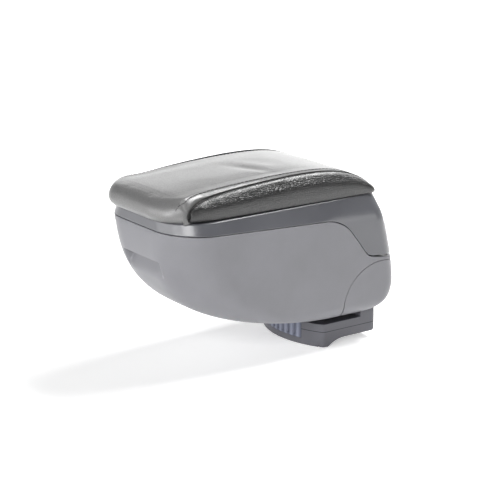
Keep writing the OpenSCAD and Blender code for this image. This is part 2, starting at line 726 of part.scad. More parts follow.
module pad_board() {
    color("#3f3a34") difference() {
        translate([0, 0, board_z]) linear_extrude(board_t) polygon(board_plan(0));
        at_runner_screws() cylinder(r = screw_r, h = 60, center = true, $fn = 24);
    }
}
function side_section(y) =
    let (inner = seam_at(y) + piping_w / 2 + piping_gap, w = pad_half(y) - inner, z1 = pad_seam_z(y))
    let (lip = min(pad_lip, 0.4 * (z1 - pad_base)), z0 = pad_base + lip)
    let (base = pad_base + lip * sweep_in((inner + 2 - foot_half(y)) / 6, 0, 0.8))
    concat([[inner, base], [inner + w * 0.9, base]],
        [for (a = [0, 30, 55, 75, 90]) [inner + w * cos(a), z0 + (z1 - z0) * sin(a)]]);
module pad_side_right() {
    color("#4c4c4e")
        for (i = [0:len(side_stations) - 2])
            hull() {
                for (y = [side_stations[i], side_stations[i + 1]])
                    translate([0, y, 0]) rotate([90, 0, 0]) linear_extrude(tiny, center = true)
                        polygon(side_section(y));
            }
}
module pad_side_left() {
    mirror([1, 0, 0]) pad_side_right();
}
function piping_section(y) = let (r = piping_w / 2, z = pad_seam_z(y), low = max(z - 9, pad_base))
    let (x = seam_at(y))
    [[x - r, low], [x + r, low], [x + r, z], [x + 0.6 * r, z + 0.8 * r], [x - 0.6 * r, z + 0.8 * r],
        [x - r, z]];
module piping_right() {
    color("#1c1c1d")
        polyhedron([for (y = side_stations, p = piping_section(y)) [p[0], y, p[1]]],
            tube_faces(len(side_stations), 6));
}
module piping_left() {
    mirror([1, 0, 0]) piping_right();
}

// Runners that hold the cushion to the deck
runner_flange = 13;
flange_top = deck_z - wall - clearance;
flange_t = 2.6;
module at_runner_screws() {
    for (s = [-1, 1], y = [runner_front + 10, runner_front + runner_l - 10])
        translate([s * runner_pitch / 2, y, pad_base]) children();
}
module pad_runner(s) {
    color("#d8d8d2") difference() {
        translate([s * runner_pitch / 2, 0, 0]) {
            translate([clearance - slot_w / 2, runner_front, flange_top - flange_t])
                cube([slot_w - 2 * clearance, runner_l, pad_base - flange_top + flange_t]);
            translate([-runner_flange / 2, runner_front, flange_top - flange_t])
                cube([runner_flange, runner_l, flange_t]);
        }
        at_runner_screws() cylinder(r = screw_r + 0.1, h = 60, center = true, $fn = 24);
    }
}
module pad_runner_left() {
    pad_runner(-1);
}
module pad_runner_right() {
    pad_runner(1);
}
module runner_screws() {
    color("#2e2f33") at_runner_screws()
        translate([0, 0, flange_top - flange_t - pad_base + 1.3]) difference() {
            pan_screw(8, screw_r - fit_gap, 0.1 + screw_r, 1.2);
        }
}

foot_base();
foot_housing();
knuckle_cover();
hinge_shaft();
shaft_clips();
arm_bumpers();
foot_screws();
button_springs();
release_button();
latch_tooth();
lower_shell();
floor_mat();
hinge_arm_left();
hinge_arm_right();
arm_screws();
lid_hinge_base();
lid_hinge_pin();
hinge_rivets();
striker_bracket();
lid_shell();
lid_hinge_leaf();
lid_liner();
liner_screws();
catch_magnet();
pad_board();
pad_top();
pad_side_left();
pad_side_right();
piping_left();
piping_right();
pad_runner_left();
pad_runner_right();
runner_screws();
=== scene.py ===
"""Dressed model of a car centre armrest: tilting box, hinged lid, sliding cushion and foot."""
from __future__ import annotations

import json
import logging
import math
from collections.abc import Callable
from dataclasses import dataclass
from enum import Enum
from typing import ClassVar

import bmesh
import bpy
import numpy as np
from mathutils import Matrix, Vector
from mathutils.kdtree import KDTree


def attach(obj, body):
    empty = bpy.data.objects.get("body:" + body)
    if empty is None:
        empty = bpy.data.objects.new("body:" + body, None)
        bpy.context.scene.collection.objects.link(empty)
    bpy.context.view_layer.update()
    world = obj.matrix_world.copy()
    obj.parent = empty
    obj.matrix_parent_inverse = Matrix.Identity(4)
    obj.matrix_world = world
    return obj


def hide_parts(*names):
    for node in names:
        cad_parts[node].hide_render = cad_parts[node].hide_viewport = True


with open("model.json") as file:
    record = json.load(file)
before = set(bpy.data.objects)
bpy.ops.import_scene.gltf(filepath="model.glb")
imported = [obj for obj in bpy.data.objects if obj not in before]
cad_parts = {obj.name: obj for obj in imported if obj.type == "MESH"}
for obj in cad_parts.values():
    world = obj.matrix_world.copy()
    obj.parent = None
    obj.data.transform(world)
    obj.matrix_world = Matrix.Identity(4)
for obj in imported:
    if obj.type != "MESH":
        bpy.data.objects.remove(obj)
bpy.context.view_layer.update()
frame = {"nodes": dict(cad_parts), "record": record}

LOG = logging.getLogger("armrest")
MM = 0.001
METRE_MM = 1000
# Corners closer than the first are merged, and edges shorter than the second are dropped
MERGE_MM = 0.004
SLIVER_MM = 0.002
# Edges that bend by more stay sharp: on mouldings, on sewn covers and on stitches
CREASE_DEG = 35.0
SEWN_CREASE_DEG = 60.0
STITCH_CREASE_DEG = 80.0
# Heights tried where a column's crossing is looked for
SAMPLES = 1600
WHITE = (1.0, 1.0, 1.0, 1.0)
# The wave texture turns through this many radians in one unit of its scale
WAVE_RADIANS = 20

Points = np.ndarray
Faces = list[tuple[int, ...]]
Piece = bpy.types.Object
Tree = bpy.types.NodeTree
Node = bpy.types.Node
Socket = bpy.types.NodeSocket


# Shared tools

def linear(hex_colour: str) -> tuple[float, float, float, float]:
    """Turn an sRGB hex colour into the linear colour that the shaders take.

    Args:
        hex_colour: Colour as "#rrggbb".

    Returns:
        Linear red, green, blue and an alpha of 1.
    """
    parts = [int(hex_colour[i:i + 2], 16) / 255 for i in (1, 3, 5)]
    red, green, blue = (c / 12.92 if c <= 0.04045 else ((c + 0.055) / 1.055) ** 2.4 for c in parts)
    return red, green, blue, 1.0


def add_node(tree: Tree, kind: str, inputs: dict[str | int, object] | None = None,
             **settings: object) -> Node:
    """Add one shader node with its settings, values and links.

    Args:
        tree: Node tree that gets the node.
        kind: Blender's identifier of the node.
        inputs: Input name or index to a value, to the output that feeds it, or to a node whose first
            output in use feeds it.
        **settings: Properties of the node itself.

    Returns:
        The new node.
    """
    node = tree.nodes.new(kind)
    for name, value in settings.items():
        setattr(node, name, value)
    for key, value in (inputs or {}).items():
        if isinstance(value, Node):
            value = next(output for output in value.outputs if output.enabled)
        if isinstance(value, Socket):
            tree.links.new(value, node.inputs[key])
        else:
            node.inputs[key].default_value = value
    return node


def smooth_step(value: Points, start: float, end: float) -> Points:
    """Ease from 0 at start to 1 at end.

    Args:
        value: Numbers to ease.
        start: Where the result is 0.
        end: Where the result is 1.

    Returns:
        Eased numbers between 0 and 1.
    """
    share = np.clip((value - start) / (end - start), 0, 1)
    return share * share * (3 - 2 * share)


def mesh_piece(name: str, points: Points, faces: Faces, crease: float = CREASE_DEG) -> Piece:
    """Make a smooth-shaded mesh object from points in millimetres.

    Args:
        name: Name of the piece.
        points: Corners, one row each, in millimetres in the row frame.
        faces: Corner numbers of each face.
        crease: Angle in degrees over which an edge stays sharp.

    Returns:
        The new object, with doubled corners merged and faces turned outwards.
    """
    mesh = bpy.data.meshes.new(name)
    mesh.from_pydata((np.asarray(points, dtype=float) * MM).tolist(), [], faces)
    work = bmesh.new()
    work.from_mesh(mesh)
    bmesh.ops.remove_doubles(work, verts=work.verts, dist=MERGE_MM * MM)
    bmesh.ops.dissolve_degenerate(work, edges=work.edges, dist=SLIVER_MM * MM)
    bmesh.ops.recalc_face_normals(work, faces=work.faces)
    work.to_mesh(mesh)
    work.free()
    mesh.shade_smooth()
    mesh.set_sharp_from_angle(angle=math.radians(crease))
    piece = bpy.data.objects.new(name, mesh)
    bpy.context.scene.collection.objects.link(piece)
    return piece


def cut(piece: Piece, cutters: list[Piece]) -> None:
    """Cut solids out of a piece and drop the cutters.

    Args:
        piece: Closed mesh that is cut.
        cutters: Closed meshes to take away.
    """
    for cutter in cutters:
        step = piece.modifiers.new("cut", "BOOLEAN")
        step.operation = "DIFFERENCE"
        step.solver = "EXACT"
        step.object = cutter
    bpy.context.view_layer.update()
    shape = bpy.data.meshes.new_from_object(piece.evaluated_get(bpy.context.evaluated_depsgraph_get()))
    piece.modifiers.clear()
    old = piece.data
    piece.data = shape
    bpy.data.meshes.remove(old)
    shape.shade_smooth()
    shape.set_sharp_from_angle(angle=math.radians(CREASE_DEG))
    for cutter in cutters:
        bpy.data.objects.remove(cutter)


def ring_faces(rings: int, count: int) -> Faces:
    """List the quads between closed rings of corners that follow each other.

    Args:
        rings: Number of rings.
        count: Number of corners in a ring.

    Returns:
        Corner numbers of each quad.
    """
    return [(i * count + j, i * count + (j + 1) % count, (i + 1) * count + (j + 1) % count,
             (i + 1) * count + j) for i in range(rings - 1) for j in range(count)]


def end_faces(rings: int, count: int) -> Faces:
    """List the two faces that close the ends of a row of rings.

    Args:
        rings: Number of rings.
        count: Number of corners in a ring.

    Returns:
        Corner numbers of both faces.
    """
    return [tuple(range(count - 1, -1, -1)), tuple(range((rings - 1) * count, rings * count))]


def cutting_bar(outline: list[tuple[float, float]], left: float, right: float) -> Piece:
    """Make a bar across the armrest to cut with, from its side view.

    Args:
        outline: Corners as (y, z) in millimetres, in order.
        left: X of its left end in millimetres.
        right: X of its right end in millimetres.

    Returns:
        The closed bar.
    """
    count = len(outline)
    points = np.array([(x, y, z) for x in (left, right) for y, z in outline])
    faces = [tuple(range(count)), tuple(range(2 * count - 1, count - 1, -1))]
    return mesh_piece("cutter", points, faces + ring_faces(2, count))


def disc_outline(centre: tuple[float, float], radius: float, count: int = 96) -> list[tuple[float, float]]:
    """List the corners of a circle in the side view.

    Args:
        centre: Middle as (y, z) in millimetres.
        radius: Radius in millimetres.
        count: Number of corners.

    Returns:
        Corners as (y, z).
    """
    turns = (2 * math.pi * i / count for i in range(count))
    return [(centre[0] + radius * math.cos(a), centre[1] + radius * math.sin(a)) for a in turns]


def cutting_block(low: tuple[float, float, float], high: tuple[float, float, float]) -> Piece:
    """Make a plain block to cut with.

    Args:
        low: Lowest corner in millimetres.
        high: Highest corner in millimetres.

    Returns:
        The block.
    """
    outline = [(low[1], low[2]), (high[1], low[2]), (high[1], high[2]), (low[1], high[2])]
    return cutting_bar(outline, low[0], high[0])


def cutting_pair(middle: float, width: float, y: tuple[float, float], z: tuple[float, float]) -> list[Piece]:
    """Make two equal blocks to cut with, one on each side.

    Args:
        middle: Distance of a block's middle from the armrest's middle, in millimetres.
        width: Width of a block.
        y: Its two ends along the armrest.
        z: Its foot and its top.

    Returns:
        Both blocks.
    """
    return [cutting_block((s * middle - width / 2, y[0], z[0]), (s * middle + width / 2, y[1], z[1]))
            for s in (-1, 1)]


def grid_faces(rows: int, columns: int) -> Faces:
    """List the quads of an open grid.

    Args:
        rows: Number of rows of corners.
        columns: Number of corners in a row.

    Returns:
        Corner numbers of each quad.
    """
    return [(i * columns + j, (i + 1) * columns + j, (i + 1) * columns + j + 1, i * columns + j + 1)
            for i in range(rows - 1) for j in range(columns - 1)]


def tube(path: Points, radius: float, sides: int, flat: float) -> tuple[Points, Faces]:
    """Sweep a round section along a path.

    Args:
        path: Centreline, one row a point, in millimetres.
        radius: Radius of the section in millimetres.
        sides: Number of corners round the section.
        flat: Height of the section as a share of its width.

    Returns:
        The corners, and the faces with both ends closed.
    """
    ahead = np.gradient(path, axis=0)
    ahead /= np.linalg.norm(ahead, axis=1)[:, None]
    side = np.cross(ahead, np.array([0.0, 0.0, 1.0]))
    side /= np.maximum(np.linalg.norm(side, axis=1), 1e-6)[:, None]
    up = np.cross(side, ahead)
    turns = 2 * np.pi * np.arange(sides) / sides
    points = (path[:, None] + radius * np.cos(turns)[None, :, None] * side[:, None]
              + radius * flat * np.sin(turns)[None, :, None] * up[:, None]).reshape(-1, 3)
    return points, ring_faces(len(path), sides) + end_faces(len(path), sides)


# Finishes

@dataclass(frozen=True)
class Finish:
    """A surface finish of one real material."""

    name: str
    colour: str
    roughness: float
    ior: float = 1.5
    metallic: float = 0.0
    light: str = "#8c8c90"
    relief: float = 0.5
    depth_mm: float = 0.05
    coat: float = 0.0
    coat_roughness: float = 0.25

    def build(self) -> bpy.types.Material:
        """Make the Blender material."""
        material = bpy.data.materials.new(self.name)
        material.use_nodes = True
        tree = material.node_tree
        shader = tree.nodes["Principled BSDF"]
        shader.inputs["Base Color"].default_value = linear(self.colour)
        shader.inputs["Roughness"].default_value = self.roughness
        shader.inputs["Metallic"].default_value = self.metallic
        if self.metallic == 0:
            shader.inputs["IOR"].default_value = self.ior
        if self.coat > 0:
            shader.inputs["Coat Weight"].default_value = self.coat
            shader.inputs["Coat Roughness"].default_value = self.coat_roughness
        place = add_node(tree, "ShaderNodeTexCoord")
        self.texture(tree, shader, place.outputs["Object"])
        return material

    def texture(self, tree: Tree, shader: Node, place: Socket) -> None:
        """Add the pattern of the finish.

        Args:
            tree: Node tree of the material.
            shader: Its surface shader.
            place: Coordinates on the piece, in metres.
        """

    def pattern(self, tree: Tree, shader: Node, tint: Node | Socket, height: Node | Socket, dark: str,
                light: str) -> Node:
        """Colour the surface between two tones and raise its relief.

        Args:
            tree: Node tree of the material.
            shader: Its surface shader.
            tint: Pattern from 0 to 1 that picks between the tones.
            height: Pattern from 0 to 1 that is raised.
            dark: Colour where the tint is 0.
            light: Colour where the tint is 1.

        Returns:
            The bump node, for a coat that follows the same relief.
        """
        mix = add_node(tree, "ShaderNodeMix", {"Factor": tint, "A": linear(dark), "B": linear(light)},
                       data_type="RGBA")
        bump = add_node(tree, "ShaderNodeBump",
                        {"Height": height, "Strength": self.relief, "Distance": self.depth_mm * MM})
        tree.links.new(mix.outputs["Result"], shader.inputs["Base Color"])
        tree.links.new(bump.outputs["Normal"], shader.inputs["Normal"])
        return bump


@dataclass(frozen=True)
class EmbossedLeatherette(Finish):
    """PVC-coated fabric with a rolled pebble grain, soft to the eye where it stretches over foam."""

    grain_mm: float = 1.6
    valley: str = "#404040"
    crest: str = "#707070"
    crease: float = 0.28
    bend: float = 0.0012
    pore_mm: float = 0.9
    pore_height: float = 0.1
    patch_mm: float = 42.0
    patch_base: float = 0.28
    valley_dull: float = 0.18
    relief: float = 0.8

    def texture(self, tree: Tree, shader: Node, place: Socket) -> None:
        """Add pebbles, the creases between them, a slow change of tone and the clear top lacquer."""
        warp = add_node(tree, "ShaderNodeTexNoise",
                        {"Vector": place, "Scale": METRE_MM / (4 * self.grain_mm), "Detail": 2})
        bent = add_node(tree, "ShaderNodeMix",
                        {"Factor": self.bend * self.grain_mm, "A": place, "B": warp.outputs["Color"]},
                        data_type="VECTOR")
        pebble = add_node(tree, "ShaderNodeTexVoronoi",
                          {"Vector": bent, "Scale": METRE_MM / self.grain_mm},
                          feature="DISTANCE_TO_EDGE")
        crest = add_node(tree, "ShaderNodeMapRange",
                         {"Value": pebble, "From Min": 0.0, "From Max": self.crease},
                         interpolation_type="SMOOTHSTEP")
        pores = add_node(tree, "ShaderNodeTexNoise",
                         {"Vector": place, "Scale": METRE_MM / self.pore_mm, "Detail": 1})
        slow = add_node(tree, "ShaderNodeTexNoise",
                        {"Vector": place, "Scale": METRE_MM / self.patch_mm, "Detail": 2})
        shade = add_node(tree, "ShaderNodeMath", {0: crest, 1: slow, 2: self.patch_base},
                         operation="MULTIPLY_ADD")
        height = add_node(tree, "ShaderNodeMath", {0: pores, 1: self.pore_height, 2: crest},
                          operation="MULTIPLY_ADD")
        bump = self.pattern(tree, shader, shade, height, self.valley, self.crest)
        tree.links.new(bump.outputs["Normal"], shader.inputs["Coat Normal"])
        gloss = add_node(tree, "ShaderNodeMapRange",
                         {"Value": crest, "To Min": self.roughness + self.valley_dull,
                          "To Max": self.roughness})
        tree.links.new(gloss.outputs["Result"], shader.inputs["Roughness"])


@dataclass(frozen=True)
class MouldedPlastic(Finish):
    """Injection-moulded ABS or PP with a spark-eroded satin grain that softens every highlight."""

    # The real grain is about 0.1 mm and too fine to show, so it is drawn this coarse
    grain_mm: float = 0.8
    grain_share: float = 0.35
    flow_mm: float = 60.0
    tone_range: tuple[float, float] = (0.4, 0.95)
    flow_range: tuple[float, float] = (0.35, 0.65)
    rubbed_and_lit: float = 0.04
    dull: float = 0.06
    relief: float = 0.6
    depth_mm: float = 0.03

    def texture(self, tree: Tree, shader: Node, place: Socket) -> None:
        """Add the fine grain, a slow flow tone and rubbed patches."""
        grain = add_node(tree, "ShaderNodeTexNoise",
                         {"Vector": place, "Scale": METRE_MM / self.grain_mm, "Detail": 3})
        flow = add_node(tree, "ShaderNodeTexNoise",
                        {"Vector": place, "Scale": METRE_MM / self.flow_mm, "Detail": 3})
        mixed = add_node(tree, "ShaderNodeMath", {0: grain, 1: self.grain_share, 2: flow},
                         operation="MULTIPLY_ADD")
        shade = add_node(tree, "ShaderNodeMapRange",
                         {"Value": mixed, "From Min": self.tone_range[0],
                          "From Max": self.tone_range[1]})
        self.pattern(tree, shader, shade, grain, self.colour, self.light)
        gloss = add_node(tree, "ShaderNodeMapRange",
                         {"Value": flow, "From Min": self.flow_range[0],
                          "From Max": self.flow_range[1], "To Min": self.roughness - self.rubbed_and_lit,
                          "To Max": self.roughness + self.dull})
        tree.links.new(gloss.outputs["Result"], shader.inputs["Roughness"])


@dataclass(frozen=True)
class SplitMoulding(MouldedPlastic):
    """Two-part moulding whose parting line is drawn as a thin dark line of painted shade."""

    parting_mm: float = 9.5
    line_mm: float = 0.5
    # Colour of the painted shade in the gap between the two halves
    dust_and_shade: str = "#1c1c1f"

    def texture(self, tree: Tree, shader: Node, place: Socket) -> None:
        """Add the moulded grain and the painted shade line at the parting height."""
        super().texture(tree, shader, place)
        moulded = shader.inputs["Base Color"].links[0].from_socket
        height = add_node(tree, "ShaderNodeSeparateXYZ", {"Vector": place})
        away = add_node(tree, "ShaderNodeMath", {0: height.outputs["Z"], 1: self.parting_mm * MM},
                        operation="SUBTRACT")
        size = add_node(tree, "ShaderNodeMath", {0: away}, operation="ABSOLUTE")
        outside_gap = add_node(tree, "ShaderNodeMapRange",
                         {"Value": size, "From Min": self.line_mm * 0.5 * MM,
                          "From Max": self.line_mm * MM})
        # Painted shade: the base colour turns dark within the line at the parting height
        line = add_node(tree, "ShaderNodeMix",
                        {"Factor": outside_gap, "A": linear(self.dust_and_shade), "B": moulded},
                        data_type="RGBA")
        tree.links.new(line.outputs["Result"], shader.inputs["Base Color"])


@dataclass(frozen=True)
class FlutedMoulding(MouldedPlastic):
    """Fluted push-button with painted shade in its grooves and painted highlights on its ridges."""

    width_mm: float = 61.4
    flutes: int = 6
    # Painted shade in the grooves and painted highlight on the ridges
    groove_shade: str = "#3b3f4e"
    ridge_highlight: str = "#8f93a4"
    contrast: float = 0.6

    def texture(self, tree: Tree, shader: Node, place: Socket) -> None:
        """Add the moulded grain and the stripes of painted shade and painted highlight along the flutes."""
        super().texture(tree, shader, place)
        moulded = shader.inputs["Base Color"].links[0].from_socket
        pitch = self.width_mm / (self.flutes + 1) * MM
        across = add_node(tree, "ShaderNodeSeparateXYZ", {"Vector": place})
        turn = add_node(tree, "ShaderNodeMath", {0: across.outputs["X"], 1: 2 * math.pi / pitch},
                        operation="MULTIPLY")
        wave = add_node(tree, "ShaderNodeMath", {0: turn}, operation="COSINE")
        # Painted highlight on each ridge and painted shade in each groove, from 0 to 1
        rubbed_and_lit = add_node(tree, "ShaderNodeMapRange", {"Value": wave, "From Min": -1.0})
        stripes = add_node(tree, "ShaderNodeMix",
                           {"Factor": rubbed_and_lit, "A": linear(self.groove_shade),
                            "B": linear(self.ridge_highlight)}, data_type="RGBA")
        both = add_node(tree, "ShaderNodeMix",
                        {"Factor": self.contrast, "A": moulded, "B": stripes},
                        data_type="RGBA")
        tree.links.new(both.outputs["Result"], shader.inputs["Base Color"])


@dataclass(frozen=True)
class WorkedSteel(Finish):
    """Steel that was ground, drawn or plated, with fine lines from the work."""

    metallic: float = 1.0
    light: str = "#b8babd"
    relief: float = 0.4
    depth_mm: float = 0.01
    line_mm: float = 0.5
    stretch: float = 0.06

    def texture(self, tree: Tree, shader: Node, place: Socket) -> None:
        """Add lines along Y and a slow change of tone."""
        stretched = add_node(tree, "ShaderNodeMapping", {"Vector": place, "Scale": (1.0, self.stretch, 1.0)})
        lines = add_node(tree, "ShaderNodeTexNoise",
                         {"Vector": stretched, "Scale": METRE_MM / self.line_mm, "Detail": 2})
        self.pattern(tree, shader, lines, lines, self.colour, self.light)


@dataclass(frozen=True)
class MouldedRubber(Finish):
    """Compression-moulded rubber with fine ribs, dull and dark."""

    light: str = "#303030"
    depth_mm: float = 0.3
    # To a radian of the wave, so that a rib and its groove take 15.7 mm
    rib_mm: float = 2.5
    dust_mm: float = 5.0

    def texture(self, tree: Tree, shader: Node, place: Socket) -> None:
        """Add ribs across and dust in the valleys."""
        ribs = add_node(tree, "ShaderNodeTexWave",
                        {"Vector": place, "Scale": METRE_MM / self.rib_mm / WAVE_RADIANS, "Distortion": 0.2},
                        bands_direction="Y")
        dust_and_shade = add_node(tree, "ShaderNodeTexNoise",
                        {"Vector": place, "Scale": METRE_MM / self.dust_mm, "Detail": 4})
        self.pattern(tree, shader, dust_and_shade, ribs.outputs["Fac"], self.colour, self.light)


@dataclass(frozen=True)
class PressedBoard(Finish):
    """Fibre board pressed from brown wood fibres, matte with short flecks."""

    light: str = "#a58b6c"
    fibre_mm: float = 2.0
    curl: float = 1.5

    def texture(self, tree: Tree, shader: Node, place: Socket) -> None:
        """Add flecks of fibre."""
        fibres = add_node(tree, "ShaderNodeTexNoise",
                          {"Vector": place, "Scale": METRE_MM / self.fibre_mm, "Detail": 5,
                           "Distortion": self.curl})
        self.pattern(tree, shader, fibres, fibres, self.colour, self.light)


@dataclass(frozen=True)
class TwistedThread(Finish):
    """Bonded polyester sewing thread, three plies twisted to a slanting rib."""

    relief: float = 0.7
    depth_mm: float = 0.1
    # The real twist of 1 mm is too fine to show, so the tone swings once in 7.5 mm of the row
    ply_mm: float = 0.6

    def texture(self, tree: Tree, shader: Node, place: Socket) -> None:
        """Add the slanting plies."""
        plies = add_node(tree, "ShaderNodeTexWave",
                         {"Vector": place, "Scale": METRE_MM / self.ply_mm / WAVE_RADIANS},
                         bands_direction="DIAGONAL")
        self.pattern(tree, shader, plies.outputs["Fac"], plies.outputs["Fac"], self.colour, self.light)


class Palette:
    """All finishes of the armrest, made once each."""

    def __init__(self) -> None:
        """Build every finish."""
        # Light grey leatherette: a fine pebble that reads as a soft, even sheen
        self.top_leather = EmbossedLeatherette(
            "leatherette_light_grey", "#a9a9a9", 0.36, 1.6, grain_mm=1.4, depth_mm=0.035,
            valley="#5c5c5c", crest="#787878", coat=0.7, coat_roughness=0.3).build()
        # Dark grey leatherette: a coarse pebble whose crests glint along the curve
        self.side_leather = EmbossedLeatherette(
            "leatherette_dark_grey", "#4c4c4c", 0.3, 1.5, grain_mm=1.9, depth_mm=0.17,
            valley="#0a0a0a", crest="#181818", coat=0.9, coat_roughness=0.2).build()
        # Seam welt: the dark leatherette turned over a cord, drawn nearly black as painted shade of the
        # seam's groove
        self.welt_leather = EmbossedLeatherette(
            "leatherette_welt_painted_shade", "#1f1f1f", 0.6, 1.45, grain_mm=1.2, depth_mm=0.08,
            valley="#060606", crest="#121212").build()
        # ABS shells: satin grain with broad soft highlights
        self.shell_plastic = MouldedPlastic("abs_satin_grey", "#757579", 0.36, 1.53, light="#7f7f84").build()
        # Lid moulding: the box's grey plastic drawn darker as painted shade, with a rubbed skin, bright where
        # it faces the light
        self.lid_plastic = MouldedPlastic("abs_satin_grey_painted_shade", "#515257", 0.33, 1.6, light="#5a5b60",
                                          coat=0.6).build()
        # PP foot: a duller and darker moulding, with painted shade along its parting line
        self.foot_plastic = SplitMoulding("pp_matte_grey", "#525258", 0.4, 1.49, light="#5d5d63").build()
        # POM button: slightly blue, waxy and smooth, with painted shade and highlight stripes along its
        # flutes
        self.button_plastic = FlutedMoulding("pom_satin_blue_grey", "#5e6271", 0.34, 1.48, light="#6e7282",
                                             depth_mm=0.015).build()
        # PP liner: nearly black and dull, so that it recedes under the lid
        self.liner_plastic = MouldedPlastic("pp_black_liner", "#28282a", 0.6, 1.49, light="#333336").build()
        # POM runners: milky white and waxy
        self.runner_plastic = MouldedPlastic("pom_natural_white", "#c9c9c2", 0.4, 1.48,
                                             light="#dadad4").build()
        # Ground shaft and pin: bright lines round the bar
        self.bright_steel = WorkedSteel("steel_ground", "#a2a4a8", 0.22).build()
        # Zinc plate: a cooler, cloudier grey
        self.plated_steel = WorkedSteel("steel_zinc_plated", "#85888c", 0.34, line_mm=1.5,
                                        light="#a3a6a9").build()
        # Drawn spring wire: darker steel with a narrow shine along each coil
        self.spring_steel = WorkedSteel("steel_spring_wire", "#707276", 0.3, light="#94969a").build()
        # Black oxide: dark with a soft oily shine
        self.black_steel = MouldedPlastic("steel_black_oxide", "#1d1d1f", 0.35, 1.6, light="#2b2b2e").build()
        # Sintered ferrite: a dull dark grey like slate
        self.magnet = MouldedPlastic("ferrite_sintered", "#39393d", 0.55, 1.7, light="#46464a").build()
        # Rubber rests and mat: black, with no shine to speak of
        self.rubber = MouldedRubber("rubber_moulded", "#1b1b1b", 0.7, 1.52).build()
        # Pressed board: warm brown and wholly matte
        self.board = PressedBoard("board_pressed_fibre", "#7c6549", 0.85, 1.45).build()
        # Polyester thread: dark grey, a little lighter than the welt beside it
        self.thread = TwistedThread("thread_dark_grey", "#202020", 0.6, 1.55, light="#3a3a3a").build()
        self.by_slot = {
            "foot_plastic": self.foot_plastic, "shell_plastic": self.shell_plastic,
            "lid_plastic": self.lid_plastic, "button_plastic": self.button_plastic,
            "liner_plastic": self.liner_plastic, "runner_plastic": self.runner_plastic,
            "bright_steel": self.bright_steel, "arm_steel": self.plated_steel,
            "spring_steel": self.spring_steel, "hinge_steel": self.black_steel,
            "black_steel": self.black_steel, "magnet": self.magnet, "bumper_rubber": self.rubber,
            "mat_rubber": self.rubber, "board_wood": self.board, "top_leather": self.top_leather,
            "side_leather": self.side_leather, "piping_leather": self.welt_leather}


def dress(piece: Piece, material: bpy.types.Material) -> None:
    """Give a piece one material all over.

    Args:
        piece: The piece.
        material: Its finish.
    """
    if piece.data.materials:
        for i in range(len(piece.data.materials)):
            piece.data.materials[i] = material
    else:
        piece.data.materials.append(material)


# Form of the moulded body, in millimetres

class Zone(Enum):
    """Stretches of the body's outline, from the middle of the front to the middle of the rear."""

    FRONT = "front"
    CORNER = "corner"
    SIDE = "side"
    HEEL_CORNER = "heel corner"
    REAR = "rear"


@dataclass(frozen=True)
class Column:
    """One upright line on the body's skin, placed by its share of the way along a stretch."""

    zone: Zone
    place: float

    @property
    def share(self) -> float:
        """Distance from the middle as a share of the flat front or rear, or 1 elsewhere."""
        if self.zone is Zone.FRONT:
            return self.place
        return 1 - self.place if self.zone is Zone.REAR else 1.0


